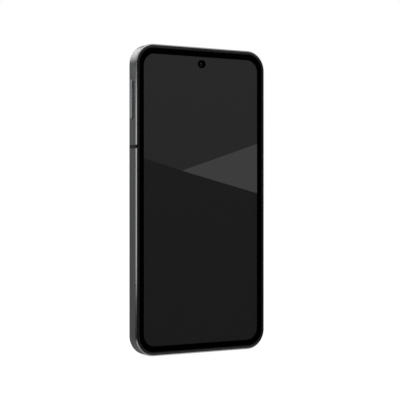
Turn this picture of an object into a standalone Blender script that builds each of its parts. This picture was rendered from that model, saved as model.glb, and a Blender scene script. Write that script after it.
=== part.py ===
"""A slab smartphone, built as the pieces it comes apart into.

The phone stands upright on its bottom edge. X runs to the right as seen from the front, Y runs from
the screen (-Y) to the back (+Y), and Z runs up from the bottom edge at 0. Sizes are in metres.
"""

from math import radians

import bmesh
import bpy
from mathutils import Matrix, Vector

MM = 0.001

# Overall size
HEIGHT = 147.0 * MM
WIDTH = 71.2 * MM
BODY_DEPTH = 8.0 * MM  # front glass to back cover
CORNER_RADIUS = 9.5 * MM
CLEARANCE = 0.3 * MM  # between neighbouring pieces
THIN_CHAMFER = 0.2 * MM  # on the glass, the cover, the camera island and the lens rings
BEYOND = 1.0 * MM  # how far a cutter reaches past what it cuts
SHORT_OF_ROUND = 0.01 * MM  # a fully rounded end stops short by this, so its bevels never meet

# Rim
RAIL_WALL = 1.6 * MM
FRONT_LIP = 0.8 * MM  # the rim's width, seen from the front
BACK_LIP = 0.7 * MM
RIM_CHAMFER = 0.5 * MM
GLASS_STANDS_PROUD = 0.25 * MM
BAND_HEIGHT = 1.2 * MM
BAND_FROM_TOP = 48.5 * MM

# Layers, front to back
LIP_RING_WIDTH = 0.5 * MM
LIP_RING_DEPTH = 1.0 * MM
GLASS_DEPTH = 0.7 * MM
DISPLAY_DEPTH = 0.7 * MM
DISPLAY_MARGIN = 0.6 * MM  # from the glass's edge to the panel's
PLATE_DEPTH = 0.6 * MM
COIL_DEPTH = 0.3 * MM
COVER_DEPTH = 0.8 * MM
BOARD_DEPTH = 0.6 * MM
FRONT_PARTS_DEPTH = 0.6 * MM  # what stands on a board's front side
SHIELD_DEPTH = 1.1 * MM
INNER_COVER_DEPTH = 0.8 * MM
FLEX_DEPTH = 0.2 * MM

# Cameras
FRONT_CAMERA_HOLE = 3.9 * MM
FRONT_CAMERA_FROM_TOP = 8.0 * MM
FRONT_CAMERA_SIDE = 6.6 * MM
FRONT_CAMERA_DEPTH = 2.7 * MM
FRONT_BARREL_SUNK = 0.1 * MM  # below the panel's face
LIGHT_SENSOR_X = -7.0 * MM
LIGHT_SENSOR_WIDTH = 2.4 * MM
LIGHT_SENSOR_HEIGHT = 1.6 * MM
ISLAND_WIDTH = 21.0 * MM
ISLAND_HEIGHT = 38.5 * MM
ISLAND_CORNER = 6.5 * MM
ISLAND_RISE = 0.9 * MM
ISLAND_FROM_TOP = 5.5 * MM
ISLAND_FROM_SIDE = 4.6 * MM
LENS_SPACING = 18.5 * MM
LENS_RING_RADIUS = 6.2 * MM
LENS_RING_RISE = 0.5 * MM
LENS_WINDOW_RADIUS = 4.7 * MM
LENS_WINDOW_DEPTH = 0.6 * MM
LENS_WINDOW_SUNK = 0.2 * MM  # below the ring's rim
LENS_BARREL_RADIUS = 3.8 * MM
WIDE_BARREL_RADIUS = 3.2 * MM
MAIN_MODULE_FLOOR = 0.8 * MM
FOCUS_TRAVEL = 0.3 * MM
MAIN_MODULE_SIDE = 11.5 * MM
WIDE_MODULE_SIDE = 9.5 * MM
FLASH_RADIUS = 1.3 * MM
FLASH_WINDOW_SUNK = 0.1 * MM
FLASH_WINDOW_LIFT = 0.3 * MM  # above the back cover
FLASH_LED_SHARE = 1.3  # of the flash's radius, so its corners stay inside the hole
CAN_CORNER = 0.6 * MM  # on the camera modules, shields and motor

# Keys
KEY_DEPTH = 2.5 * MM
KEY_PROJECTION = 0.45 * MM
KEY_TRAVEL = 0.25 * MM
KEY_FLANGE = 0.5 * MM
KEY_FLANGE_SIDE_MARGIN = 0.4 * MM
KEY_FLANGE_END_MARGIN = 1.0 * MM
PEG_LENGTH = 0.4 * MM
PEG_DEPTH = 1.2 * MM
PEG_HEIGHT = 1.6 * MM
OVERLAP = 0.1 * MM  # where two shapes of one piece join
VOLUME_KEY_LENGTH = 18.4 * MM
VOLUME_KEY_FROM_TOP = 26.2 * MM  # to the key's middle
POWER_KEY_LENGTH = 10.5 * MM
POWER_KEY_FROM_TOP = 30.0 * MM
SWITCH_LENGTH = 3.0 * MM
SWITCH_DEPTH = 0.65 * MM
SWITCH_WIDTH = 2.2 * MM
SWITCH_TO_FLEX = 0.2 * MM
KEY_FLEX_WIDTH = 2.4 * MM

# SIM tray, in the top edge
TRAY_CENTRE_X = -17.0 * MM
TRAY_WIDTH = 11.8 * MM
TRAY_HEAD_MARGIN = 1.1 * MM  # the head covers the slot that the carrier passes through
TRAY_HEAD_LENGTH = TRAY_WIDTH + 2 * TRAY_HEAD_MARGIN
TRAY_HEAD_DEPTH = 1.65 * MM
TRAY_REACH = 16.0 * MM
CARD_WIDTH = 8.9 * MM
CARD_LENGTH = 12.4 * MM
EJECT_HOLE_RADIUS = 0.45 * MM
EJECT_HOLE_FROM_END = 1.6 * MM
EJECT_HOLE_DEPTH = 1.0 * MM
CARRIER_DEPTH = 0.55 * MM
CARRIER_END_BAR = 1.5 * MM
CARRIER_IN_HEAD = 0.5 * MM
CARD_CORNER = 0.8 * MM
READER_END = 1.2 * MM
READER_RAIL = 1.1 * MM

# Bottom edge
PORT_WIDTH = 8.94 * MM
PORT_HEIGHT = 3.16 * MM
PORT_WALL = 0.3 * MM
PORT_LENGTH = 7.7 * MM
PORT_RECESS = 0.3 * MM
TONGUE_WIDTH = 6.7 * MM
TONGUE_DEPTH = 0.7 * MM
PORT_END_WALL = 0.8 * MM
TONGUE_RECESS = 0.8 * MM
SPEAKER_HOLES = 6
SPEAKER_HOLE_RADIUS = 0.7 * MM
SPEAKER_HOLE_PITCH = 2.5 * MM
SPEAKER_FIRST_HOLE_X = 11.5 * MM
MICROPHONE_HOLE_X = -9.5 * MM
MICROPHONE_HOLE_RADIUS = 0.45 * MM
SPEAKER_HEIGHT = 17.0 * MM
CONE_TRAVEL = 0.15 * MM
MESH_DEPTH = 0.2 * MM
MESH_WIDTH = 2.2 * MM
MESH_END_MARGIN = 1.2 * MM
LOUDSPEAKER_MARGIN = 4.0 * MM  # from the box's side to its cone
SOUNDER_BACK_GAP = 0.45 * MM
CONE_DEPTH = 0.3 * MM
CONE_CORNER = 0.8 * MM
SOUNDER_CORNER = 1.0 * MM
SPEAKER_BOX_MARGIN = 1.0 * MM  # past the last sound hole
MICROPHONE_WIDTH = 3.0 * MM
MICROPHONE_HEIGHT = 2.2 * MM

# Middle and top
TOP_BAY = 42.4 * MM  # height of the space above the battery
BATTERY_TO_BOARD = 2.5 * MM
SIDE_CHANNEL = 2.5 * MM  # for the antenna lead, beside the battery
COIL_OUTER_RADIUS = 21.5 * MM
COIL_INNER_RADIUS = 10.0 * MM
BOTTOM_BAY = 20.0 * MM  # height of the space below the battery
BOARD_RIGHT_OF_CENTRE = 12.6 * MM
KEY_ZONE = 3.1 * MM  # kept free beside the boards for the keys' flanges and switches
BOARD_CORNER = 4.5 * MM
SUB_BOARD_CORNER = 1.5 * MM
SHIELD_FROM_EDGE = 1.2 * MM
SHIELD_FROM_BOTTOM = 6.5 * MM
SHIELD_FROM_READER = 2.5 * MM
SHIELD_FROM_LEFT = 3.6 * MM
SHIELD_FROM_NOTCH = 2.0 * MM
RADIO_SHIELD_FROM_READER = 0.1 * MM
SHIELD_PARTING = 1.2 * MM
PAD_LEFT = -1.0 * MM
PAD_MARGIN = 1.0 * MM
PAD_FROM_BOTTOM = 6.0 * MM
COVER_FROM_BOARD_END = 3.8 * MM
LOWER_COVER_FROM_TOP = 3.6 * MM
EARPIECE_WIDTH = 11.0 * MM
EARPIECE_HEIGHT = 6.0 * MM
EARPIECE_SLOT = 12.0 * MM
EARPIECE_DEPTH = 2.7 * MM
EARPIECE_FROM_CAMERA = 1.3 * MM
EARPIECE_MARGIN = 1.2 * MM
EARPIECE_CUT_HEIGHT = 1.5 * MM
DISPLAY_FLEX_WIDTH = 12.0 * MM
DISPLAY_FLEX_FROM_BOTTOM = 6.0 * MM
DISPLAY_FLEX_OPENING = 4.0 * MM
PLATE_OPENING_CORNER = 1.0 * MM
DISPLAY_PLUG_MARGIN = 2.0 * MM
DISPLAY_PLUG_OVER = 1.0 * MM
BATTERY_FLEX_WIDTH = 6.0 * MM
BATTERY_FLEX_END = 4.5 * MM
BATTERY_PLUG_WIDTH = 8.0 * MM
BATTERY_PLUG_DEPTH = 0.9 * MM
BATTERY_PLUG_FROM_BOTTOM = 1.0 * MM
BATTERY_PLUG_HEIGHT = 3.0 * MM
BATTERY_SIDE_GAP = 1.0 * MM
BATTERY_CORNER = 1.0 * MM
INTERCONNECT_WIDTH = 6.0 * MM
INTERCONNECT_FROM_COIL = 1.0 * MM
INTERCONNECT_BELOW = 3.0 * MM
INTERCONNECT_ABOVE = 3.5 * MM
COAX_RADIUS = 0.35 * MM
COAX_FROM_WALL = 0.9 * MM
COAX_PAST_BATTERY = 2.0 * MM
MOTOR_WIDTH = 15.3 * MM
MOTOR_HEIGHT = 7.0 * MM
MOTOR_WALL = 0.4 * MM
MOTOR_TRAVEL = 0.5 * MM
MOTOR_FROM_WALL = 2.5 * MM
MOTOR_FROM_BOTTOM = 6.5 * MM
SCREW_HEAD_RADIUS = 1.1 * MM
SCREW_HEAD_DEPTH = 0.4 * MM
SCREW_SHANK_RADIUS = 0.6 * MM
UPPER_SCREW_FROM_SIDE = 1.9 * MM
UPPER_SCREW_FROM_BOTTOM = 8.5 * MM
TRAY_SCREW_FROM_TOP = 8.0 * MM
MIDDLE_SCREW_X = -6.4 * MM
MIDDLE_SCREW_FROM_TOP = 2.6 * MM
LOWER_LEFT_SCREW_FROM_MOTOR = 2.4 * MM
LOWER_LEFT_SCREW_HEIGHT = 10.5 * MM
LOWER_MIDDLE_SCREW_HEIGHT = 12.5 * MM
LOWER_RIGHT_SCREW_FROM_SPEAKER = 3.0 * MM
LOWER_RIGHT_SCREW_HEIGHT = 4.5 * MM

# Planes that follow from the sizes above. A pair is (front, back) along Y.
CAMERA_BUMP = ISLAND_RISE + LENS_RING_RISE
FRONT = -(BODY_DEPTH + CAMERA_BUMP) / 2
BACK = FRONT + BODY_DEPTH
GLASS_Y = (FRONT, FRONT + GLASS_DEPTH)
DISPLAY_Y = (GLASS_Y[1] + CLEARANCE, GLASS_Y[1] + CLEARANCE + DISPLAY_DEPTH)
PLATE_Y = (DISPLAY_Y[1] + CLEARANCE, DISPLAY_Y[1] + CLEARANCE + PLATE_DEPTH)
COVER_Y = (BACK - COVER_DEPTH, BACK)
BAY_Y = (PLATE_Y[1] + CLEARANCE, COVER_Y[0] - CLEARANCE)
COIL_Y = (BAY_Y[1] - COIL_DEPTH, BAY_Y[1])
BATTERY_Y = (BAY_Y[0], COIL_Y[0] - CLEARANCE)
FRONT_PARTS_Y = (BAY_Y[0], BAY_Y[0] + FRONT_PARTS_DEPTH)
BOARD_Y = (FRONT_PARTS_Y[1] + CLEARANCE, FRONT_PARTS_Y[1] + CLEARANCE + BOARD_DEPTH)
SHIELD_Y = (BOARD_Y[1] + CLEARANCE, BOARD_Y[1] + CLEARANCE + SHIELD_DEPTH)
INNER_COVER_Y = (BAY_Y[1] - INNER_COVER_DEPTH, BAY_Y[1])
RIM_Y = (FRONT + GLASS_STANDS_PROUD, BACK - GLASS_STANDS_PROUD)
MID_BAY = sum(BAY_Y) / 2  # the keys, the tray and the port are level with the middle of the bay

HALF = WIDTH / 2
GLASS_INSET = FRONT_LIP + CLEARANCE + LIP_RING_WIDTH + CLEARANCE
PLATE_INSET = RAIL_WALL + CLEARANCE
BAND_Z = HEIGHT - BAND_FROM_TOP
BAY_TOP = HEIGHT - RAIL_WALL - 2 * CLEARANCE
TOP_BAY_Z = (BAY_TOP - TOP_BAY, BAY_TOP)
BATTERY_Z = (RAIL_WALL + CLEARANCE + BOTTOM_BAY, TOP_BAY_Z[0] - BATTERY_TO_BOARD)
CAMERA_TOP = BACK + CAMERA_BUMP
LENS_WINDOW_Y = (CAMERA_TOP - LENS_WINDOW_SUNK - LENS_WINDOW_DEPTH, CAMERA_TOP - LENS_WINDOW_SUNK)
ISLAND_X = HALF - ISLAND_FROM_SIDE - ISLAND_WIDTH / 2
ISLAND_Z = HEIGHT - ISLAND_FROM_TOP - ISLAND_HEIGHT / 2
BOARD_LEFT = -(HALF - RAIL_WALL - KEY_ZONE)
CARRIER_REACH = TRAY_WIDTH / 2 + CLEARANCE + READER_RAIL
READER_X = (TRAY_CENTRE_X - CARRIER_REACH, TRAY_CENTRE_X + CARRIER_REACH)

# Name, colour, roughness, metallic
FINISHES = {
    "rim_metal": ((0.065, 0.066, 0.070), 0.38, 0.9),
    "band_plastic": ((0.012, 0.012, 0.013), 0.5, 0.0),
    "black_plastic": ((0.010, 0.010, 0.011), 0.45, 0.0),
    "cover_glass": ((0.004, 0.004, 0.005), 0.05, 0.0),
    "panel": ((0.020, 0.020, 0.022), 0.3, 0.0),
    "back_glass": ((0.030, 0.031, 0.034), 0.32, 0.0),
    "lens_glass": ((0.010, 0.012, 0.018), 0.04, 0.0),
    "steel": ((0.45, 0.45, 0.46), 0.3, 1.0),
    "magnesium": ((0.20, 0.20, 0.21), 0.5, 0.8),
    "circuit_board": ((0.010, 0.035, 0.022), 0.45, 0.0),
    "flex_film": ((0.09, 0.045, 0.012), 0.4, 0.0),
    "battery_film": ((0.022, 0.022, 0.024), 0.4, 0.0),
    "copper": ((0.55, 0.26, 0.12), 0.35, 1.0),
    "thermal_paste": ((0.30, 0.32, 0.34), 0.7, 0.0),
}


def material(finish):
    """The Principled material of one finish, made once and then shared."""
    if finish in bpy.data.materials:
        return bpy.data.materials[finish]
    colour, roughness, metallic = FINISHES[finish]
    made = bpy.data.materials.new(finish)
    made.use_nodes = True
    shader = made.node_tree.nodes["Principled BSDF"]
    shader.inputs["Base Color"].default_value = (*colour, 1.0)
    shader.inputs["Roughness"].default_value = roughness
    shader.inputs["Metallic"].default_value = metallic
    return made


def add_object(name, bm, finish, origin=(0, 0, 0)):
    """Turns a bmesh into an object whose origin is at the given point."""
    bmesh.ops.recalc_face_normals(bm, faces=bm.faces)
    bm.transform(Matrix.Translation(-Vector(origin)))
    mesh = bpy.data.meshes.new(name)
    bm.to_mesh(mesh)
    bm.free()
    mesh.shade_smooth()
    mesh.set_sharp_from_angle(angle=radians(35))
    made = bpy.data.objects.new(name, mesh)
    made.location = origin
    made.data.materials.append(material(finish))
    bpy.context.scene.collection.objects.link(made)
    return made


def edges_along(bm, axis):
    return [e for e in bm.edges if abs((e.verts[0].co - e.verts[1].co)[axis]) > 1e-7]


def slab(name, x, y, z, finish="steel", corner=0.0, edge=0.0, round_about=1, steps=6, origin=None):
    """A box between three (low, high) pairs. Its corners about one axis can be rounded, and so can the
    rims of the two faces that face along that axis."""
    spans = (x, y, z)
    size = Vector([high - low for low, high in spans])
    centre = Vector([(low + high) / 2 for low, high in spans])
    bm = bmesh.new()
    bmesh.ops.create_cube(bm, size=1.0, matrix=Matrix.Translation(centre) @ Matrix.Diagonal((*size, 1.0)))
    if corner:
        bmesh.ops.bevel(bm, geom=edges_along(bm, round_about), offset=corner, segments=steps,
                        profile=0.5, affect="EDGES")
    if edge:
        rims = [e for e in bm.edges if abs((e.verts[0].co - e.verts[1].co)[round_about]) < 1e-7]
        bmesh.ops.bevel(bm, geom=rims, offset=edge, segments=1, profile=0.5, affect="EDGES")
    return add_object(name, bm, finish, centre if origin is None else origin)


def round_bar(name, centre, radius, span, finish="steel", axis=1, sides=24):
    """A cylinder along one axis, from span[0] to span[1]. centre gives its place on the other two."""
    turn = {0: Matrix.Rotation(radians(90), 4, "Y"), 1: Matrix.Rotation(radians(90), 4, "X"),
            2: Matrix.Identity(4)}[axis]
    middle = Vector(centre)
    middle[axis] = (span[0] + span[1]) / 2
    bm = bmesh.new()
    bmesh.ops.create_cone(bm, cap_ends=True, segments=sides, radius1=radius, radius2=radius,
                          depth=span[1] - span[0], matrix=Matrix.Translation(middle) @ turn)
    return add_object(name, bm, finish, middle)


def turned_about_y(name, profile, x, z, finish="steel", sides=32):
    """A profile of (radius, y) points, spun a full turn about the line through x and z along Y. It is
    closed into a ring, unless it starts and ends on that line."""
    bm = bmesh.new()
    points = [bm.verts.new((radius, y, 0)) for radius, y in profile]
    after = points[1:] if profile[0][0] == 0 else points[1:] + points[:1]
    edges = [bm.edges.new(pair) for pair in zip(points, after)]
    bmesh.ops.spin(bm, geom=points + edges, cent=(0, 0, 0), axis=(0, 1, 0), angle=radians(360),
                   steps=sides, use_merge=True)
    bmesh.ops.remove_doubles(bm, verts=bm.verts, dist=1e-7)
    bm.transform(Matrix.Translation((x, 0, z)))
    middle = sum(y for _, y in profile) / len(profile)
    return add_object(name, bm, finish, (x, middle, z))


def outline_slab(name, inset, y, finish, edge=0.0, steps=8):
    """A plate with the phone's own outline, drawn in by the inset."""
    return slab(name, (-HALF + inset, HALF - inset), y, (inset, HEIGHT - inset), finish,
                corner=CORNER_RADIUS - inset, edge=edge, steps=steps, origin=(0, 0, 0))


def guide(tool):
    """Marks an object as a cutter, which isn't part of the phone."""
    tool.hide_render = True
    tool.display_type = "WIRE"
    return tool


def combine(target, operation, *tools):
    for tool in tools:
        modifier = target.modifiers.new(operation.lower(), "BOOLEAN")
        modifier.operation = operation
        modifier.solver = "EXACT"
        modifier.object = guide(tool)
    return target


def cut(target, *tools):
    return combine(target, "DIFFERENCE", *tools)


def join(target, *tools):
    return combine(target, "UNION", *tools)


def trim_to_bay(piece):
    """Keeps what lies inside the rim, with clearance, so a piece follows the bay's round corners."""
    return combine(piece, "INTERSECT",
                   outline_slab("keep_" + piece.name, PLATE_INSET, grown(BAY_Y, BEYOND), "steel"))


def around(middle, length):
    return (middle - length / 2, middle + length / 2)


def grown(span, by):
    return (span[0] - by, span[1] + by)


# Rim: one blank ring, parted into two metal segments and two plastic bands

def rim_ring(name, finish):
    """The whole rim, with a ledge for the lip ring in front and one for the cover behind."""
    ring = outline_slab(name, 0.0, RIM_Y, finish, edge=RIM_CHAMFER)
    lip_ledge = FRONT + LIP_RING_DEPTH + CLEARANCE
    cover_ledge = COVER_Y[0] - CLEARANCE
    return cut(
        ring,
        outline_slab("cut_" + name + "_front", FRONT_LIP, (FRONT - BEYOND, lip_ledge), finish),
        outline_slab("cut_" + name + "_back", BACK_LIP, (cover_ledge, BACK + BEYOND), finish),
        outline_slab("cut_" + name + "_bay", RAIL_WALL, (FRONT - BEYOND, BACK + BEYOND), finish),
    )


def key_slot(name, side, middle_z, length):
    """The opening in the side rail that a key's head passes through."""
    wall = sorted((side * (HALF - RAIL_WALL - BEYOND), side * (HALF + BEYOND)))
    return slab(name, wall, around(MID_BAY, KEY_DEPTH + 2 * CLEARANCE),
                around(middle_z, length + 2 * CLEARANCE),
                corner=KEY_DEPTH / 2 + CLEARANCE - SHORT_OF_ROUND, round_about=0, steps=5)


def speaker_hole_places():
    return [SPEAKER_FIRST_HOLE_X + i * SPEAKER_HOLE_PITCH for i in range(SPEAKER_HOLES)]


def build_rim():
    across = (-HALF - BEYOND, HALF + BEYOND)
    deep = (FRONT - BEYOND, BACK + BEYOND)
    parting = BAND_HEIGHT / 2 + CLEARANCE

    upper = rim_ring("frame_upper", "rim_metal")
    combine(upper, "INTERSECT", slab("keep_upper", across, deep, (BAND_Z + parting, HEIGHT + BEYOND)))
    tray_slot = slab("cut_tray_slot", around(TRAY_CENTRE_X, TRAY_HEAD_LENGTH + 2 * CLEARANCE),
                     around(MID_BAY, TRAY_HEAD_DEPTH + 2 * CLEARANCE),
                     (HEIGHT - 2 * RAIL_WALL, HEIGHT + BEYOND),
                     corner=TRAY_HEAD_DEPTH / 2, round_about=2, steps=4)
    cut(upper, tray_slot,
        key_slot("cut_volume_slot", -1, HEIGHT - VOLUME_KEY_FROM_TOP, VOLUME_KEY_LENGTH),
        key_slot("cut_power_slot", 1, HEIGHT - POWER_KEY_FROM_TOP, POWER_KEY_LENGTH))

    lower = rim_ring("frame_lower", "rim_metal")
    combine(lower, "INTERSECT", slab("keep_lower", across, deep, (-BEYOND, BAND_Z - parting)))
    wall = (-BEYOND, RAIL_WALL + BEYOND)
    mouth_height = PORT_HEIGHT + 2 * CLEARANCE
    cut(lower, slab("cut_port", around(0, PORT_WIDTH + 2 * CLEARANCE), around(MID_BAY, mouth_height), wall,
                    corner=mouth_height / 2 - SHORT_OF_ROUND, round_about=2, steps=6))
    for i, x in enumerate(speaker_hole_places()):
        cut(lower, round_bar(f"cut_speaker_hole_{i + 1}", (x, MID_BAY, 0), SPEAKER_HOLE_RADIUS, wall,
                             axis=2, sides=12))
    cut(lower, round_bar("cut_microphone_hole", (MICROPHONE_HOLE_X, MID_BAY, 0), MICROPHONE_HOLE_RADIUS,
                         wall, axis=2, sides=10))

    for name, side in (("antenna_band_left", -1), ("antenna_band_right", 1)):
        band = rim_ring(name, "band_plastic")
        half = sorted((side * HALF / 2, side * (HALF + BEYOND)))
        combine(band, "INTERSECT", slab("keep_" + name, half, deep, around(BAND_Z, BAND_HEIGHT)))


# Front: lip ring, glass, display and the plate behind them

def build_front():
    lip_inset = FRONT_LIP + CLEARANCE
    lip_y = (FRONT + GLASS_STANDS_PROUD, FRONT + LIP_RING_DEPTH)
    lip = outline_slab("display_lip", lip_inset, lip_y, "black_plastic")
    slot_z = (HEIGHT - lip_inset - LIP_RING_WIDTH - BEYOND, HEIGHT - lip_inset + BEYOND)
    cut(lip, outline_slab("cut_lip_inside", lip_inset + LIP_RING_WIDTH,
                          (FRONT - BEYOND, lip_y[1] + BEYOND), "black_plastic"),
        slab("cut_earpiece_slot", around(0, EARPIECE_SLOT), (FRONT - BEYOND, lip_y[1] + BEYOND), slot_z))
    slab("earpiece_mesh", around(0, EARPIECE_SLOT - 2 * CLEARANCE), lip_y,
         (HEIGHT - lip_inset - LIP_RING_WIDTH, HEIGHT - lip_inset), "steel")

    outline_slab("front_glass", GLASS_INSET, GLASS_Y, "cover_glass", edge=THIN_CHAMFER)

    hole = (0, 0, HEIGHT - FRONT_CAMERA_FROM_TOP)
    display = outline_slab("display_panel", GLASS_INSET + DISPLAY_MARGIN, DISPLAY_Y, "panel")
    cut(display, round_bar("cut_display_hole", hole, FRONT_CAMERA_HOLE / 2, grown(DISPLAY_Y, BEYOND),
                           sides=32))

    plate = outline_slab("chassis_plate", PLATE_INSET, PLATE_Y, "magnesium")
    flex_x = around(-HALF / 4, DISPLAY_FLEX_WIDTH)
    flex_z = around(TOP_BAY_Z[0] + DISPLAY_FLEX_FROM_BOTTOM, DISPLAY_FLEX_OPENING)
    cut(plate,
        round_bar("cut_plate_camera", hole, FRONT_CAMERA_HOLE / 2 + CLEARANCE, grown(PLATE_Y, BEYOND),
                  sides=32),
        slab("cut_plate_flex", flex_x, grown(PLATE_Y, BEYOND), flex_z,
             corner=PLATE_OPENING_CORNER, steps=3),
        slab("cut_plate_earpiece", around(0, EARPIECE_SLOT), grown(PLATE_Y, BEYOND),
             (HEIGHT - PLATE_INSET - EARPIECE_CUT_HEIGHT, HEIGHT)))

    # The display's flex drops through the plate to a plug on the mainboard's front side
    riser_z = around(flex_z[0] + DISPLAY_PLUG_OVER, FLEX_DEPTH)
    riser = slab("display_flex", grown(flex_x, -CLEARANCE), (PLATE_Y[0], FRONT_PARTS_Y[1]), riser_z,
                 "flex_film")
    join(riser, slab("add_display_plug", grown(flex_x, -DISPLAY_PLUG_MARGIN), FRONT_PARTS_Y,
                     (riser_z[0], flex_z[1] + DISPLAY_PLUG_OVER), "flex_film"))

    camera_z = around(hole[2], FRONT_CAMERA_SIDE)
    camera = slab("front_camera", around(0, FRONT_CAMERA_SIDE), (BAY_Y[0], BAY_Y[0] + FRONT_CAMERA_DEPTH),
                  camera_z, "black_plastic", corner=CAN_CORNER, steps=2)
    join(camera, round_bar("add_front_barrel", hole, FRONT_CAMERA_HOLE / 2 - CLEARANCE,
                           (DISPLAY_Y[0] + FRONT_BARREL_SUNK, BAY_Y[0] + OVERLAP), "black_plastic", sides=32))
    slab("light_sensor", around(LIGHT_SENSOR_X, LIGHT_SENSOR_WIDTH), FRONT_PARTS_Y,
         around(hole[2], LIGHT_SENSOR_HEIGHT), "black_plastic")


# Back: cover, camera island, and the cameras under it

def lens_ring(name, z):
    """A ring with a ledge inside, which the window rests on."""
    ledge = LENS_WINDOW_Y[0] - CLEARANCE
    mouth = LENS_WINDOW_RADIUS + CLEARANCE
    throat = LENS_BARREL_RADIUS + CLEARANCE
    profile = [(throat, COVER_Y[0] + CLEARANCE), (LENS_RING_RADIUS, COVER_Y[0] + CLEARANCE),
               (LENS_RING_RADIUS, CAMERA_TOP - THIN_CHAMFER), (LENS_RING_RADIUS - THIN_CHAMFER, CAMERA_TOP),
               (mouth, CAMERA_TOP), (mouth, ledge), (throat, ledge)]
    turned_about_y(name + "_ring", profile, ISLAND_X, z, "steel")
    round_bar(name + "_window", (ISLAND_X, 0, z), LENS_WINDOW_RADIUS, LENS_WINDOW_Y, "lens_glass", sides=32)


def build_back():
    island_x = around(ISLAND_X, ISLAND_WIDTH)
    island_z = around(ISLAND_Z, ISLAND_HEIGHT)
    through = (COVER_Y[0] - BEYOND, CAMERA_TOP + BEYOND)
    lenses = (("main_lens", ISLAND_Z + LENS_SPACING / 2), ("wide_lens", ISLAND_Z - LENS_SPACING / 2))

    cover = outline_slab("back_cover", BACK_LIP + CLEARANCE, COVER_Y, "back_glass", edge=THIN_CHAMFER)
    cut(cover, slab("cut_cover_island", grown(island_x, CLEARANCE), through, grown(island_z, CLEARANCE),
                    corner=ISLAND_CORNER + CLEARANCE))
    island = slab("camera_island", island_x, (COVER_Y[0], BACK + ISLAND_RISE), island_z, "rim_metal",
                  corner=ISLAND_CORNER, edge=THIN_CHAMFER)
    cut(island, round_bar("cut_island_flash", (ISLAND_X, 0, ISLAND_Z), FLASH_RADIUS + CLEARANCE, through))
    for name, z in lenses:
        cut(island, round_bar("cut_island_" + name, (ISLAND_X, 0, z), LENS_RING_RADIUS + CLEARANCE, through,
                              sides=32))
        lens_ring(name, z)
    round_bar("flash_window", (ISLAND_X, 0, ISLAND_Z), FLASH_RADIUS,
              (BACK + FLASH_WINDOW_LIFT, BACK + ISLAND_RISE - FLASH_WINDOW_SUNK), "lens_glass")
    led_side = FLASH_LED_SHARE * FLASH_RADIUS
    slab("flash_led", around(ISLAND_X, led_side), (INNER_COVER_Y[0], BACK), around(ISLAND_Z, led_side),
         "thermal_paste")

    # Main camera: a body with a bore, and a lens barrel that slides in it to focus
    main_z = lenses[0][1]
    bore = LENS_BARREL_RADIUS + CLEARANCE
    floor = BAY_Y[0] + MAIN_MODULE_FLOOR
    body = slab("main_camera_body", around(ISLAND_X, MAIN_MODULE_SIDE), BAY_Y,
                around(main_z, MAIN_MODULE_SIDE), "magnesium", corner=CAN_CORNER, steps=2)
    cut(body, round_bar("cut_main_bore", (ISLAND_X, 0, main_z), bore, (floor, BACK), sides=32))
    round_bar("main_camera_barrel", (ISLAND_X, 0, main_z), LENS_BARREL_RADIUS,
              (floor + CLEARANCE, LENS_WINDOW_Y[0] - CLEARANCE - FOCUS_TRAVEL), "black_plastic", sides=32)

    wide_z = lenses[1][1]
    wide = slab("wide_camera", around(ISLAND_X, WIDE_MODULE_SIDE), BAY_Y, around(wide_z, WIDE_MODULE_SIDE),
                "magnesium", corner=CAN_CORNER, steps=2)
    join(wide, round_bar("add_wide_barrel", (ISLAND_X, 0, wide_z), WIDE_BARREL_RADIUS,
                         (BAY_Y[1] - OVERLAP, LENS_WINDOW_Y[0] - CLEARANCE), "black_plastic", sides=32))


# Keys, each with a flange that keeps it in, and the switches that they press

def build_key(name, side, middle_z, length, peg_places):
    """A key's origin is on its line of travel."""
    inner_wall = HALF - RAIL_WALL
    flange = (inner_wall - CLEARANCE - KEY_FLANGE, inner_wall - CLEARANCE)
    origin = (side * HALF, MID_BAY, middle_z)
    depth, height = around(MID_BAY, KEY_DEPTH), around(middle_z, length)

    def span(low, high):
        return sorted((side * low, side * high))

    key = slab(name, span(flange[0] + OVERLAP, HALF + KEY_PROJECTION), depth, height, "rim_metal",
               corner=KEY_DEPTH / 2 - SHORT_OF_ROUND, round_about=0, steps=5, origin=origin)
    join(key, slab("add_" + name + "_flange", span(*flange), grown(depth, KEY_FLANGE_SIDE_MARGIN),
                   grown(height, KEY_FLANGE_END_MARGIN)))
    peg = (flange[0] - PEG_LENGTH, flange[0] + OVERLAP)
    switch_top = peg[0] - KEY_TRAVEL - CLEARANCE
    for i, z in enumerate(peg_places):
        join(key, slab(f"add_{name}_peg_{i + 1}", span(*peg), around(MID_BAY, PEG_DEPTH),
                       around(z, PEG_HEIGHT)))
    return switch_top, span


def build_keys():
    volume_z = HEIGHT - VOLUME_KEY_FROM_TOP
    power_z = HEIGHT - POWER_KEY_FROM_TOP
    reach = VOLUME_KEY_LENGTH / 2 - SWITCH_LENGTH
    sets = (
        ("volume", -1, volume_z, VOLUME_KEY_LENGTH,
         (("volume_switch_upper", volume_z + reach), ("volume_switch_lower", volume_z - reach))),
        ("power", 1, power_z, POWER_KEY_LENGTH, (("power_switch", power_z),)),
    )
    for name, side, middle_z, length, switches in sets:
        top, span = build_key(name + "_key", side, middle_z, length, [z for _, z in switches])
        for switch, z in switches:
            slab(switch, span(top - SWITCH_DEPTH, top), around(MID_BAY, SWITCH_WIDTH),
                 around(z, SWITCH_LENGTH))
        flex_top = top - SWITCH_DEPTH - SWITCH_TO_FLEX
        slab(name + "_flex", span(flex_top - FLEX_DEPTH, flex_top), around(MID_BAY, KEY_FLEX_WIDTH),
             around(middle_z, length), "flex_film")


# SIM tray and its reader

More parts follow.
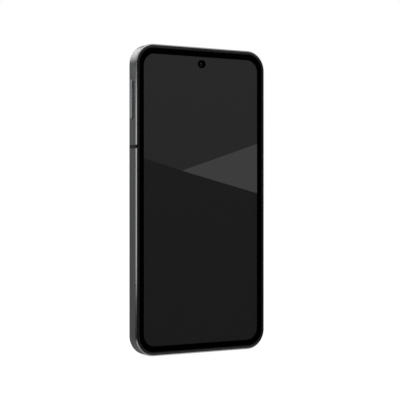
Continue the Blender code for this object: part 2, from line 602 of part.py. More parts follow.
def build_tray():
    inner_top = HEIGHT - RAIL_WALL
    carrier_y = (SHIELD_Y[1] - CARRIER_DEPTH, SHIELD_Y[1])
    bottom = HEIGHT - RAIL_WALL - TRAY_REACH
    origin = (TRAY_CENTRE_X, MID_BAY, HEIGHT)
    tray = slab("sim_tray", around(TRAY_CENTRE_X, TRAY_HEAD_LENGTH), around(MID_BAY, TRAY_HEAD_DEPTH),
                (inner_top + OVERLAP, HEIGHT), "rim_metal", corner=TRAY_HEAD_DEPTH / 2 - SHORT_OF_ROUND,
                round_about=2, steps=4, origin=origin)
    join(tray, slab("add_tray_carrier", around(TRAY_CENTRE_X, TRAY_WIDTH), carrier_y,
                    (bottom, inner_top + CARRIER_IN_HEAD)))
    window_z = (bottom + CARRIER_END_BAR, bottom + CARRIER_END_BAR + CARD_LENGTH)
    cut(tray, slab("cut_tray_card", around(TRAY_CENTRE_X, CARD_WIDTH), grown(carrier_y, BEYOND), window_z,
                   corner=CARD_CORNER, steps=2),
        round_bar("cut_eject_hole", (TRAY_CENTRE_X + TRAY_HEAD_LENGTH / 2 - EJECT_HOLE_FROM_END, MID_BAY, 0),
                  EJECT_HOLE_RADIUS, (HEIGHT - EJECT_HOLE_DEPTH, HEIGHT + BEYOND), axis=2, sides=12))

    channel_x = around(TRAY_CENTRE_X, TRAY_WIDTH + 2 * CLEARANCE)
    reader = slab("sim_reader", READER_X, SHIELD_Y, (bottom - READER_END, TOP_BAY_Z[1]))
    cut(reader, slab("cut_reader_channel", channel_x, (carrier_y[0] - CLEARANCE, SHIELD_Y[1] + BEYOND),
                     (bottom - CLEARANCE, HEIGHT)))


# Boards, shields and the covers screwed over them

def screw(name, x, z):
    """A flat-headed screw along Y, with its head at the back."""
    head = INNER_COVER_Y[1] - SCREW_HEAD_DEPTH
    profile = [(0, BAY_Y[0]), (SCREW_SHANK_RADIUS, BAY_Y[0]), (SCREW_SHANK_RADIUS, head),
               (SCREW_HEAD_RADIUS, head), (SCREW_HEAD_RADIUS, INNER_COVER_Y[1]), (0, INNER_COVER_Y[1])]
    turned_about_y(name, profile, x, z, sides=16)


def screw_down(names_and_places, pieces):
    """Screws, the holes that they pass through, and the sinks for their heads in the first piece."""
    for name, x, z in names_and_places:
        screw(name, x, z)
        sink = (INNER_COVER_Y[1] - SCREW_HEAD_DEPTH - CLEARANCE, INNER_COVER_Y[1] + BEYOND)
        cut(pieces[0], round_bar(f"cut_{name}_sink", (x, 0, z), SCREW_HEAD_RADIUS + CLEARANCE, sink,
                                 sides=16))
        for piece in pieces:
            cut(piece, round_bar(f"cut_{name}_{piece.name}", (x, 0, z), SCREW_SHANK_RADIUS + CLEARANCE,
                                 grown(BAY_Y, BEYOND), sides=16))


def build_top_bay():
    low, high = TOP_BAY_Z
    camera_z = HEIGHT - FRONT_CAMERA_FROM_TOP
    notch_low = camera_z - FRONT_CAMERA_SIDE / 2 - CLEARANCE
    board = slab("mainboard", (BOARD_LEFT, BOARD_RIGHT_OF_CENTRE), BOARD_Y, (low, high), "circuit_board",
                 corner=BOARD_CORNER)
    cut(board, slab("cut_board_notch", (-FRONT_CAMERA_SIDE / 2 - CLEARANCE, HALF), grown(BOARD_Y, BEYOND),
                    (notch_low, HEIGHT)))

    shield_right = BOARD_RIGHT_OF_CENTRE - SHIELD_FROM_EDGE
    shields_z = (low + SHIELD_FROM_BOTTOM, HEIGHT - RAIL_WALL - TRAY_REACH - SHIELD_FROM_READER)
    radio_right = READER_X[1] + RADIO_SHIELD_FROM_READER
    processor_top = notch_low - SHIELD_FROM_NOTCH
    slab("radio_shield", (BOARD_LEFT + SHIELD_FROM_LEFT, radio_right), SHIELD_Y, shields_z, corner=CAN_CORNER,
         steps=2)
    slab("processor_shield", (radio_right + SHIELD_PARTING, shield_right), SHIELD_Y,
         (shields_z[0], processor_top), corner=CAN_CORNER, steps=2)
    slab("thermal_pad", (PAD_LEFT, shield_right - PAD_MARGIN), FRONT_PARTS_Y,
         (low + PAD_FROM_BOTTOM, processor_top - PAD_MARGIN), "thermal_paste")
    earpiece_left = FRONT_CAMERA_SIDE / 2 + EARPIECE_FROM_CAMERA
    sounder("earpiece", (earpiece_left, earpiece_left + EARPIECE_WIDTH), (high - EARPIECE_HEIGHT, high),
            (BAY_Y[0], BAY_Y[0] + EARPIECE_DEPTH), EARPIECE_MARGIN)

    plug_low = low + BATTERY_PLUG_FROM_BOTTOM
    flex = slab("battery_connector", around(0, BATTERY_FLEX_WIDTH), (SHIELD_Y[0], SHIELD_Y[0] + FLEX_DEPTH),
                (BATTERY_Z[1] + CLEARANCE, low + BATTERY_FLEX_END), "flex_film")
    join(flex, slab("add_battery_plug", around(0, BATTERY_PLUG_WIDTH),
                    (SHIELD_Y[0], SHIELD_Y[0] + BATTERY_PLUG_DEPTH),
                    (plug_low, plug_low + BATTERY_PLUG_HEIGHT)))

    cover = slab("upper_inner_cover", (BOARD_LEFT, -BOARD_LEFT), INNER_COVER_Y,
                 (low + COVER_FROM_BOARD_END, high), "black_plastic", corner=BOARD_CORNER)
    cut(cover, slab("cut_cover_cameras", around(ISLAND_X, MAIN_MODULE_SIDE + 2 * CLEARANCE),
                    grown(INNER_COVER_Y, BEYOND),
                    (ISLAND_Z - LENS_SPACING / 2 - WIDE_MODULE_SIDE / 2 - CLEARANCE,
                     ISLAND_Z + LENS_SPACING / 2 + MAIN_MODULE_SIDE / 2 + CLEARANCE)))
    screw_x = BOARD_LEFT + UPPER_SCREW_FROM_SIDE
    screw_down((("screw_upper_left", screw_x, low + UPPER_SCREW_FROM_BOTTOM),
                ("screw_upper_tray", screw_x, high - TRAY_SCREW_FROM_TOP),
                ("screw_upper_middle", MIDDLE_SCREW_X, high - MIDDLE_SCREW_FROM_TOP)), (cover, board))


def sounder(name, x, z, y, cone_margin):
    """A speaker: a box with a recess in its front, and the cone that moves in it."""
    recess = SOUNDER_BACK_GAP + 2 * CONE_TRAVEL + CLEARANCE
    box = trim_to_bay(slab(name + "_box", x, y, z, "black_plastic", corner=SOUNDER_CORNER, steps=2))
    cone_x, cone_z = grown(x, -cone_margin), grown(z, -cone_margin)
    cut(box, slab("cut_" + name, grown(cone_x, CLEARANCE), (y[0] - BEYOND, y[0] + recess),
                  grown(cone_z, CLEARANCE), corner=SOUNDER_CORNER, steps=3))
    slab(name + "_cone", cone_x, (y[0] + CONE_TRAVEL, y[0] + CONE_TRAVEL + CONE_DEPTH), cone_z,
         "black_plastic", corner=CONE_CORNER, steps=3)


def build_bottom_bay():
    low = RAIL_WALL + 2 * CLEARANCE
    high = BATTERY_Z[0] - CLEARANCE
    hole_ends = grown((speaker_hole_places()[0], speaker_hole_places()[-1]), MESH_END_MARGIN)
    slab("speaker_mesh", hole_ends, around(MID_BAY, MESH_WIDTH),
         (RAIL_WALL + CLEARANCE, RAIL_WALL + CLEARANCE + MESH_DEPTH))
    speaker_x = (hole_ends[0] - SPEAKER_BOX_MARGIN, HALF - RAIL_WALL)
    speaker_low = RAIL_WALL + 2 * CLEARANCE + MESH_DEPTH
    sounder("loudspeaker", speaker_x, (speaker_low, speaker_low + SPEAKER_HEIGHT), BAY_Y,
            LOUDSPEAKER_MARGIN)

    motor_left = -HALF + RAIL_WALL + MOTOR_FROM_WALL
    motor_x = (motor_left, motor_left + MOTOR_WIDTH)
    motor_z = (low + MOTOR_FROM_BOTTOM, low + MOTOR_FROM_BOTTOM + MOTOR_HEIGHT)
    motor_y = (BAY_Y[0], INNER_COVER_Y[0] - CLEARANCE)
    can = slab("vibration_motor_can", motor_x, motor_y, motor_z, corner=CAN_CORNER, steps=2)
    inside = (grown(motor_x, -MOTOR_WALL), (motor_y[0] - BEYOND, motor_y[1] - MOTOR_WALL),
              grown(motor_z, -MOTOR_WALL))
    cut(can, slab("cut_motor_inside", *inside))
    slab("vibration_motor_mass", grown(inside[0], -CLEARANCE - MOTOR_TRAVEL),
         (motor_y[0], inside[1][1] - CLEARANCE), grown(inside[2], -CLEARANCE))

    board = slab("sub_board", (-HALF, speaker_x[0] - CLEARANCE), BOARD_Y, (low, high), "circuit_board",
                 corner=SUB_BOARD_CORNER, steps=3)
    trim_to_bay(board)
    port_top = PORT_RECESS + PORT_LENGTH
    cut(board, slab("cut_board_port", around(0, PORT_WIDTH + 2 * CLEARANCE), grown(BOARD_Y, BEYOND),
                    (0, port_top + CLEARANCE)),
        slab("cut_board_motor", (-HALF, motor_x[1] + CLEARANCE), grown(BOARD_Y, BEYOND),
             (0, motor_z[1] + CLEARANCE)))

    port_y = around(MID_BAY, PORT_HEIGHT)
    shell = slab("usb_receptacle", around(0, PORT_WIDTH), port_y, (PORT_RECESS, port_top),
                 corner=PORT_HEIGHT / 2 - SHORT_OF_ROUND, round_about=2)
    cut(shell, slab("cut_port_inside", grown(around(0, PORT_WIDTH), -PORT_WALL), grown(port_y, -PORT_WALL),
                    (-BEYOND, port_top - PORT_END_WALL), corner=PORT_HEIGHT / 2 - PORT_WALL - SHORT_OF_ROUND,
                    round_about=2))
    slab("usb_tongue", around(0, TONGUE_WIDTH), around(MID_BAY, TONGUE_DEPTH),
         (PORT_RECESS + TONGUE_RECESS, port_top - PORT_END_WALL - CLEARANCE), "black_plastic")
    slab("microphone", around(MICROPHONE_HOLE_X, MICROPHONE_WIDTH), SHIELD_Y, (low, low + MICROPHONE_HEIGHT))

    cover = slab("lower_inner_cover", (motor_left, speaker_x[0] - CLEARANCE), INNER_COVER_Y,
                 (low, high - LOWER_COVER_FROM_TOP), "black_plastic", corner=SUB_BOARD_CORNER, steps=3)
    trim_to_bay(cover)
    cut(cover, slab("cut_cover_port", around(0, PORT_WIDTH + 2 * CLEARANCE), grown(INNER_COVER_Y, BEYOND),
                    (0, port_top + CLEARANCE)))
    right_x = speaker_x[0] - LOWER_RIGHT_SCREW_FROM_SPEAKER
    screw_down((("screw_lower_left", motor_x[1] + LOWER_LEFT_SCREW_FROM_MOTOR, low + LOWER_LEFT_SCREW_HEIGHT),
                ("screw_lower_middle", 0.0, low + LOWER_MIDDLE_SCREW_HEIGHT),
                ("screw_lower_right", right_x, low + LOWER_RIGHT_SCREW_HEIGHT)), (cover, board))


# Battery, charging coil, and what runs between the boards

def build_middle():
    left = -HALF + RAIL_WALL + CLEARANCE + SIDE_CHANNEL
    slab("battery", (left, HALF - RAIL_WALL - CLEARANCE - BATTERY_SIDE_GAP), BATTERY_Y, BATTERY_Z,
         "battery_film", corner=BATTERY_CORNER, steps=3)
    coil = [(COIL_INNER_RADIUS, COIL_Y[0]), (COIL_OUTER_RADIUS, COIL_Y[0]),
            (COIL_OUTER_RADIUS, COIL_Y[1]), (COIL_INNER_RADIUS, COIL_Y[1])]
    turned_about_y("charging_coil", coil, 0.0, sum(BATTERY_Z) / 2, "copper", sides=48)
    flex_right = -COIL_OUTER_RADIUS - INTERCONNECT_FROM_COIL
    slab("interconnect_flex", (flex_right - INTERCONNECT_WIDTH, flex_right),
         (COIL_Y[0], COIL_Y[0] + FLEX_DEPTH),
         (BATTERY_Z[0] - INTERCONNECT_BELOW, TOP_BAY_Z[0] + INTERCONNECT_ABOVE), "flex_film")
    lead_x = -HALF + RAIL_WALL + CLEARANCE + COAX_FROM_WALL
    round_bar("coax_cable", (lead_x, MID_BAY, 0), COAX_RADIUS, grown(BATTERY_Z, COAX_PAST_BATTERY),
              "black_plastic", axis=2, sides=10)


def build_phone():
    for old in list(bpy.data.objects):
        bpy.data.objects.remove(old, do_unlink=True)
    build_rim()
    build_front()
    build_back()
    build_keys()
    build_tray()
    build_top_bay()
    build_bottom_bay()
    build_middle()


build_phone()
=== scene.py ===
# %% [markdown]
# # A slab smartphone, dressed around its CAD model
# The CAD model gives every piece its place and says how the keys, the SIM tray and the small moving parts
# travel. This lesson keeps that frame and builds what the eye sees on top of it: a metal rim, a glass front
# with a lit screen, a satin glass back and the cameras. All lengths are in metres. X runs to the right, Y from
# the screen to the back, and Z up from the bottom edge.

from math import copysign, cos, radians, sin

import bmesh
import bpy
from mathutils import Matrix, Vector


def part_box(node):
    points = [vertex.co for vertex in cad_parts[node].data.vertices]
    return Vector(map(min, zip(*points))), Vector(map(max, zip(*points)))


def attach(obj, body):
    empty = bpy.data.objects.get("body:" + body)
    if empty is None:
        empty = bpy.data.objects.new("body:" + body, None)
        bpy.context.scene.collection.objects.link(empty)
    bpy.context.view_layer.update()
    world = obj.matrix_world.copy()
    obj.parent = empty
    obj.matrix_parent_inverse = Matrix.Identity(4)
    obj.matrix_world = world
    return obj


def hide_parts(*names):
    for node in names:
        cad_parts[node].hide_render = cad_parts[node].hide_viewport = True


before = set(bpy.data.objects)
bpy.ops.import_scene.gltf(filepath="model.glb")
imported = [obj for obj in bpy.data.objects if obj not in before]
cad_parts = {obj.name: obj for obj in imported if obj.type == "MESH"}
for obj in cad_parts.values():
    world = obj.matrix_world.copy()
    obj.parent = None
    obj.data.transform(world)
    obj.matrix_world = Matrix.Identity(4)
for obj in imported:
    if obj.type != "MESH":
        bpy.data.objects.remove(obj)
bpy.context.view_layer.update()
MM = 0.001

# %% [markdown]
# Sizes come from the CAD nodes' own boxes, so a change to the model carries through. The rim's two segments
# give the outline, and the layers' depths come from the glass and the back cover.

# %% Sizes read from the frame


def size_of(node):
    """The size of a CAD node's box along X, Y and Z."""
    low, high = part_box(node)
    return high.x - low.x, high.y - low.y, high.z - low.z


def middle_of(node):
    """The middle of a CAD node's box along X and Z, which is where a shape facing along Y is laid."""
    low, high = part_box(node)
    return (low.x + high.x) / 2, (low.z + high.z) / 2


rim_low, rim_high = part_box("frame_lower")[0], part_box("frame_upper")[1]
HALF = rim_high.x
HEIGHT = rim_high.z
RIM_FRONT, RIM_BACK = rim_low.y, rim_high.y
MIDDLE_Z = HEIGHT / 2
CORNER = 9.5 * MM
BAND_Z = middle_of("antenna_band_left")[1]
glass_low, glass_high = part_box("front_glass")
cover_low, cover_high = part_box("back_cover")
port_low, port_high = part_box("usb_receptacle")
KEY_LEVEL = (port_low.y + port_high.y) / 2
print("outline", round(2 * HALF / MM, 1), "by", round(HEIGHT / MM, 1), "mm, bands at", round(BAND_Z / MM, 1))

# %% [markdown]
# Shader maths reads best as plain sums, so one small class wraps a socket and gives it Python's operators.
# Each sum adds a Math node. Any other node comes from one method that sets its choices first, and then
# fills or links its inputs.


# %% A socket that does sums, and a finish that makes nodes
class Value:
    """An output socket. Sums with it add Math nodes."""

    def __init__(self, finish, socket):
        self.finish, self.socket = finish, socket

    def sum(self, operation, *others):
        return self.finish.node("ShaderNodeMath", *others, operation=operation)

    def __add__(self, other):
        return self.sum("ADD", self, other)

    def __sub__(self, other):
        return self.sum("SUBTRACT", self, other)

    def __rsub__(self, other):
        return self.sum("SUBTRACT", other, self)

    def __mul__(self, other):
        return self.sum("MULTIPLY", self, other)

    def __abs__(self):
        return self.sum("ABSOLUTE", self)

    __radd__, __rmul__ = __add__, __mul__

    def clip(self):
        return self.sum("MINIMUM", self.sum("MAXIMUM", self, 0.0), 1.0)


class Finish:
    """A material with one Principled shader, the means to add nodes to it, and the slot it fills."""

    def __init__(self, name, slot=None, **constants):
        self.slot = slot
        self.material = bpy.data.materials.new(name)
        self.material.use_nodes = True
        self.tree = self.material.node_tree
        self.shader = self.tree.nodes["Principled BSDF"]
        self.set(**constants)

    def put(self, target, value):
        if isinstance(value, Value):
            self.tree.links.new(value.socket, target)
        elif isinstance(value, tuple) and len(value) == 3 and target.type == "RGBA":
            target.default_value = (*value, 1.0)
        else:
            target.default_value = value

    def set(self, **sockets):
        for name, value in sockets.items():
            self.put(self.shader.inputs[name.replace("_", " ")], value)

    def node(self, kind, *inputs, out=0, named=None, **settings):
        made = self.tree.nodes.new(kind)
        for name, value in settings.items():
            setattr(made, name, value)
        for target, value in zip(made.inputs, inputs):
            if value is not None:
                self.put(target, value)
        for name, value in (named or {}).items():
            self.put(made.inputs[name], value)
        return Value(self, made.outputs[out]) if len(made.outputs) else None

    def place(self, stretch=None):
        """The point on the object in metres, stretched if a pattern is to run along one axis."""
        where = self.node("ShaderNodeTexCoord", out=3)
        return self.node("ShaderNodeMapping", where, None, None, stretch) if stretch else where

    def split(self, vector):
        """A vector's X, Y and Z."""
        separate = self.node("ShaderNodeSeparateXYZ", vector).socket.node
        return [Value(self, output) for output in separate.outputs]

    def axes(self):
        return self.split(self.place())

    def fade(self, value, start, end, low=0.0, high=1.0, curve="LINEAR"):
        """Goes from low to high while the value goes from start to end, and holds still past either."""
        return self.node("ShaderNodeMapRange", value, start, end, low, high, interpolation_type=curve)

    def noise(self, per_metre, detail=2.0, stretch=None):
        choices = {"Scale": per_metre, "Detail": detail}
        return self.node("ShaderNodeTexNoise", self.place(stretch), named=choices)

    def blend(self, mask, first, second):
        """The first colour where the mask is 0, and the second where it is 1."""
        return self.node("ShaderNodeMix", mask, *[None] * 5, first, second, out=2, data_type="RGBA")

    def bump(self, height, depth, strength):
        return self.node("ShaderNodeBump", named={"Height": height, "Distance": depth, "Strength": strength})

    def surface(self, pattern, first, second, rough, depth, strength):
        """Colour and relief that follow one pattern, and a roughness."""
        self.set(Base_Color=self.blend(pattern, first, second), Roughness=rough,
                 Normal=self.bump(pattern, depth, strength))


print("shader helpers ready")

# %% [markdown]
# Almost every part of a phone is a rounded rectangle that changes a little as it gets thicker: a wall, a
# chamfer, a ledge. So one helper draws the outline once and extrudes its edge from level to level, and moves
# each point along its own corner's radius to the next inset. The outline itself is a one-face grid whose four
# corners are bevelled into true arcs. The phone faces along Y, its rails along X and its top and bottom along
# Z, so a matrix lays the same shape in any of them.


# %% Rounded outlines, extruded from level to level
FACING = {
    "Y": Matrix(((1, 0, 0, 0), (0, 0, 1, 0), (0, 1, 0, 0), (0, 0, 0, 1))),
    "X": Matrix(((0, 0, 1, 0), (1, 0, 0, 0), (0, 1, 0, 0), (0, 0, 0, 1))),
    "Z": Matrix.Identity(4),
}
SAME_PLACE = 1e-7


def outline(bm, width, height, corner, steps):
    """The edges of one rounded rectangle, flat in its own XY plane."""
    lay = Matrix.Diagonal((width, height, 1, 1))
    corners = bmesh.ops.create_grid(bm, x_segments=1, y_segments=1, size=0.5, matrix=lay)["verts"]
    bmesh.ops.bevel(bm, geom=corners, offset=corner, offset_type="OFFSET", segments=steps, profile=0.5,
                    affect="VERTICES", material=-1)
    face = next(f for f in bm.faces if len(f.verts) == 4 * (steps + 1))
    edges = face.edges[:]
    bmesh.ops.delete(bm, geom=[face], context="FACES_ONLY")
    return edges


def outwards(bm):
    """Turns every face to look out of the shape it belongs to."""
    bm.normal_update()
    bmesh.ops.recalc_face_normals(bm, faces=bm.faces)
    bm.normal_update()


def stack(width, height, corner, profile, facing="Y", at=(0, 0), steps=12, ring=False, soften=0.0):
    """A solid whose outline follows a profile of (inset, level) pairs, or with ring a closed band, whose
    profile comes back to its start. Each inset is less than the corner's radius. The level edges where it
    turns can be softened by a small round."""
    bm = bmesh.new()
    loop = first = outline(bm, width, height, corner, steps)
    for index, (inset, level) in enumerate(profile + profile[:1] if ring else profile):
        if index:
            grown = bmesh.ops.extrude_edge_only(bm, edges=loop)["geom"]
            points = {g for g in grown if isinstance(g, bmesh.types.BMVert)}
            edges = [g for g in grown if isinstance(g, bmesh.types.BMEdge)]
            loop = [edge for edge in edges if points.issuperset(edge.verts)]
        for point in {v for edge in loop for v in edge.verts}:
            centre = Vector((copysign(width / 2 - corner, point.co.x),
                             copysign(height / 2 - corner, point.co.y)))
            reach = (point.co.xy - centre).normalized() * (corner - inset)
            point.co = (*(centre + reach), level)
    if ring:
        bmesh.ops.remove_doubles(bm, verts=bm.verts, dist=SAME_PLACE)
    else:
        for end in (first, loop):
            bmesh.ops.edgeloop_fill(bm, edges=end)
    outwards(bm)
    if soften:
        level_edges = [e for e in bm.edges if abs(e.verts[0].co.z - e.verts[1].co.z) < SAME_PLACE]
        turning = [e for e in level_edges if e.calc_face_angle(0) > radians(20)]
        bmesh.ops.bevel(bm, geom=turning, offset=soften, segments=3, profile=0.5, affect="EDGES", material=-1)
    bm.transform(Matrix.Translation(FACING[facing].to_3x3() @ Vector((*at, 0))) @ FACING[facing])
    outwards(bm)
    return bm


def phone_shape(profile, **choices):
    """A shape that follows the phone's own outline."""
    return stack(2 * HALF, HEIGHT, CORNER, profile, at=(0, MIDDLE_Z), steps=28, **choices)


def block_at(node, corner, profile, **choices):
    """A shape in the place of a CAD node, with the width and height of its box."""
    width, _, height = size_of(node)
    return stack(width, height, corner, profile, at=middle_of(node), **choices)


def edge_shape(width, depth, corner, profile, x=0.0, **choices):
    """A shape in the phone's bottom or top edge, level with the keys."""
    return stack(width, depth, corner, profile, facing="Z", at=(x, KEY_LEVEL), **choices)


def turned(profile, centre, axis="Y", sides=64):
    """A profile of (radius, level) pairs spun about an axis. It is closed into a ring unless it starts and
    ends on that axis."""
    bm = bmesh.new()
    points = [bm.verts.new((radius, 0, level)) for radius, level in profile]
    after = points[1:] if profile[0][0] == 0 else points[1:] + points[:1]
    edges = [bm.edges.new(pair) for pair in zip(points, after)]
    bmesh.ops.spin(bm, geom=points + edges, cent=(0, 0, 0), axis=(0, 0, 1), angle=radians(360), steps=sides,
                   use_merge=True)
    bmesh.ops.remove_doubles(bm, verts=bm.verts, dist=SAME_PLACE)
    bm.transform(Matrix.Translation(centre) @ FACING[axis])
    outwards(bm)
    return bm


def merged(*shapes):
    """Several shapes as one mesh. Each stays a closed body of its own."""
    whole = shapes[0]
    for shape in shapes[1:]:
        mesh = bpy.data.meshes.new("part")
        shape.to_mesh(mesh)
        shape.free()
        whole.from_mesh(mesh)
        bpy.data.meshes.remove(mesh)
    return whole


def plain_object(name, bm):
    mesh = bpy.data.meshes.new(name)
    bm.to_mesh(mesh)
    bm.free()
    made = bpy.data.objects.new(name, mesh)
    bpy.context.scene.collection.objects.link(made)
    return made


def carved(bm, cutters, operation="DIFFERENCE"):
    """The shape with the cutters taken away, or with UNION joined on, as a new bmesh."""
    body = plain_object("blank", bm)
    tools = [plain_object("cutter", cutter) for cutter in cutters]
    for tool in tools:
        cut = body.modifiers.new(tool.name, "BOOLEAN")
        cut.operation, cut.solver, cut.object = operation, "EXACT", tool
    bpy.context.view_layer.update()
    done = bmesh.new()
    done.from_object(body, bpy.context.evaluated_depsgraph_get())
    for old in (body, *tools):
        mesh = old.data
        bpy.data.objects.remove(old)
        bpy.data.meshes.remove(mesh)
    return done


def piece(name, bm, finish, body="housing", replaces=None, sharp=32):
    """Turns a shape into a finished piece that rides on a CAD body."""
    faces = len(bm.faces)
    made = plain_object(name, bm)
    made.data.shade_smooth()
    made.data.set_sharp_from_angle(angle=radians(sharp))
    made.data.materials.append(finish.material)
    made.modifiers.new("flat faces stay flat", "WEIGHTED_NORMAL").keep_sharp = True
    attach(made, body)
    if replaces:
        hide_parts(replaces)
    print(f"{name}: {faces} faces, rides on {body}")


print("shape helpers ready")

# %% [markdown]
# ## Finishes
# The rim is aluminium, bead-blasted and anodised dark, so it is a dim metal whose colour hardly changes but
# whose roughness does, in grains far smaller than a millimetre. Along its cut edges the cutter leaves bare,
# brighter metal. Colour, roughness and bump carry all of that, and none of it needs a picture.

# %% Metal finishes
CUT_EDGE = (0.30, 0.305, 0.31)


def anodised(name, shade):
    """Blasted and anodised metal. The chamfers, which lean between the faces, are cut brighter."""
    made = Finish(name, slot="rim", Metallic=1.0)
    speck = made.noise(9000.0, 3.0)
    cloud = made.noise(60.0, 3.0)
    line = made.noise(650.0, stretch=(0.03, 1.0, 0.03))
    forward = abs(made.split(made.node("ShaderNodeNewGeometry", out=1))[1])
    leaning = made.fade(forward, 0.45, 0.6) * made.fade(forward, 0.93, 0.82)
    tone = made.blend(((cloud - 0.5) * 0.4 + speck * 0.3 + (line - 0.5) * 1.6 + 0.35).clip(),
                      tuple(c * 0.72 for c in shade), tuple(c * 1.5 for c in shade))
    made.set(Base_Color=made.blend(leaning, tone, CUT_EDGE),
             Roughness=(0.29 + speck * 0.10 + cloud * 0.05) * (1.0 - leaning * 0.55),
             Normal=made.bump(speck, 0.004 * MM, 0.35))
    return made


rim_metal = anodised("anodised rim metal", (0.030, 0.031, 0.033))
key_metal = anodised("anodised key metal", (0.125, 0.128, 0.132))

bright_metal = Finish("turned lens ring metal", slot="steel", Base_Color=(0.34, 0.345, 0.355), Metallic=1.0)
turning = bright_metal.noise(2500.0)
bright_metal.set(Roughness=0.16 + turning * 0.14, Normal=bright_metal.bump(turning, 0.003 * MM, 0.3))

sheet_steel = Finish("rolled shield steel", slot="steel", Metallic=1.0)
rolled = sheet_steel.noise(700.0, 4.0, stretch=(1.0, 1.0, 0.04))
sheet_steel.surface(rolled, (0.36, 0.36, 0.355), (0.55, 0.55, 0.54), 0.22 + rolled * 0.2, 0.004 * MM, 0.4)

cast_metal = Finish("die-cast magnesium", slot="cast_plate", Metallic=0.85)
casting = cast_metal.noise(1800.0, 4.0)
cast_metal.surface(casting, (0.14, 0.14, 0.145), (0.26, 0.26, 0.265), 0.42 + casting * 0.25, 0.02 * MM, 0.5)

copper_wire = Finish("enamelled copper wire", slot="copper", Metallic=1.0, Coat_Roughness=0.15)
strand = copper_wire.noise(900.0)
copper_wire.set(Base_Color=copper_wire.blend(strand, (0.42, 0.17, 0.065), (0.68, 0.32, 0.14)),
                Roughness=0.25 + strand * 0.15, Coat_Weight=0.4 + strand * 0.2)
print("metal finishes made")

# %% [markdown]
# The plastics differ mostly in sheen. Moulded parts are spark-eroded to a fine matt grain, films are smooth
# with slow waves, and the boards carry lacquer over copper tracks.

# %% Plastics, films and boards


def moulded(name, dark, light, slot="black_plastic", rough=0.45, depth=0.006 * MM, sheen=0.5):
    made = Finish(name, slot, Specular_IOR_Level=sheen)
    speck = made.noise(5000.0, 3.0)
    made.surface(speck, dark, light, rough - 0.06 + speck * 0.14, depth, 0.4)
    return made


black_plastic = moulded("black moulded plastic", (0.006, 0.006, 0.007), (0.014, 0.014, 0.015))
band_plastic = moulded("antenna band resin", (0.004, 0.004, 0.0044), (0.008, 0.008, 0.0088), slot="band",
                       rough=0.5, sheen=0.05)
lip_plastic = moulded("screen lip plastic", (0.002, 0.002, 0.0022), (0.004, 0.004, 0.0044), rough=0.34,
                      sheen=0.3)
thermal_pad = moulded("soft thermal pad", (0.24, 0.26, 0.28), (0.34, 0.36, 0.38), slot=None, rough=0.75,
                      depth=0.02 * MM)

battery_film = Finish("battery pouch film", slot="battery")
crease = battery_film.noise(120.0, 4.0, stretch=(1.0, 1.0, 0.4))
battery_film.surface(crease, (0.014, 0.014, 0.015), (0.034, 0.034, 0.036), 0.3 + crease * 0.2, 0.12 * MM, 0.6)

flex_film = Finish("amber flex film")
x, y, z = flex_film.axes()
TRACKS_PER_METRE = 1800.0
track = x.sum("PINGPONG", x * TRACKS_PER_METRE, 1.0)
flex_film.surface(track, (0.10, 0.040, 0.008), (0.19, 0.085, 0.022), 0.33, 0.02 * MM, 0.5)

board_lacquer = Finish("circuit board lacquer", Coat_Roughness=0.1)
cells = board_lacquer.node("ShaderNodeTexVoronoi", board_lacquer.place(), named={"Scale": 700.0},
                           distance="MANHATTAN")
pads = board_lacquer.fade(cells, 0.22, 0.16)
board_lacquer.surface(pads, (0.006, 0.026, 0.016), (0.30, 0.20, 0.06), 0.38 - pads * 0.12, 0.02 * MM, 0.4)
board_lacquer.set(Metallic=pads * 0.8)
print("plastics, films and boards made")

# %% [markdown]
# ## Glass and screen
# The front glass is one clear pane with a black border printed on it. A mask gives the clear window: the
# distance to a rounded rectangle, worked out from the point's own X and Z, turns sharply from clear to black
# at the border. The screen behind gives off its own light, so its picture goes to the emission colour: two
# greys parted by a crease, with a lighter wedge.

# %% The window's mask and the front glass
WINDOW_HALF_WIDTH = HALF - 4.0 * MM
WINDOW_HALF_HEIGHT = MIDDLE_Z - 4.6 * MM
WINDOW_CORNER = 5.9 * MM
CAMERA_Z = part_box("display_panel")[1].z - 5.5 * MM
HOLE_RADIUS, EYE_RADIUS = 1.88 * MM, 1.25 * MM
PRINT_EDGE = 0.03 * MM


def beyond_window(made):
    """Metres outside the clear window: below 0 inside it, and above 0 in the border."""
    x, y, z = made.axes()
    right = abs(x) - (WINDOW_HALF_WIDTH - WINDOW_CORNER)
    above = abs(z - MIDDLE_Z) - (WINDOW_HALF_HEIGHT - WINDOW_CORNER)
    out_right, out_above = right.sum("MAXIMUM", right, 0.0), above.sum("MAXIMUM", above, 0.0)
    far = right.sum("SQRT", out_right * out_right + out_above * out_above)
    near = right.sum("MINIMUM", right.sum("MAXIMUM", right, above), 0.0)
    return far + near - WINDOW_CORNER


def from_camera(made):
    x, y, z = made.axes()
    up = z - CAMERA_Z
    return x.sum("SQRT", x * x + up * up)


front_glass = Finish("front glass with printed border", slot="front_glass", Base_Color=(0.0, 0.0, 0.0),
                     Specular_IOR_Level=0.03)
border = front_glass.fade(beyond_window(front_glass), -PRINT_EDGE, PRINT_EDGE)
camera_ring = front_glass.fade(from_camera(front_glass), HOLE_RADIUS + PRINT_EDGE, HOLE_RADIUS - PRINT_EDGE)
camera_eye = front_glass.fade(from_camera(front_glass), EYE_RADIUS, EYE_RADIUS - 0.05 * MM)
smear = front_glass.noise(25.0, 3.0)
printed = (border + camera_ring * (1.0 - camera_eye)).clip()
GLASS_HOLDS_BACK = 0.06
front_glass.set(Alpha=printed * (1.0 - GLASS_HOLDS_BACK) + GLASS_HOLDS_BACK, Roughness=0.03 + smear * 0.03)

screen = Finish("lit screen", Base_Color=(0.0, 0.0, 0.0), Roughness=0.35, Specular_IOR_Level=0.1,
                Emission_Strength=1.0)
x, y, z = screen.axes()
APEX_X, APEX_Z = -10.7 * MM, HEIGHT - 59.5 * MM


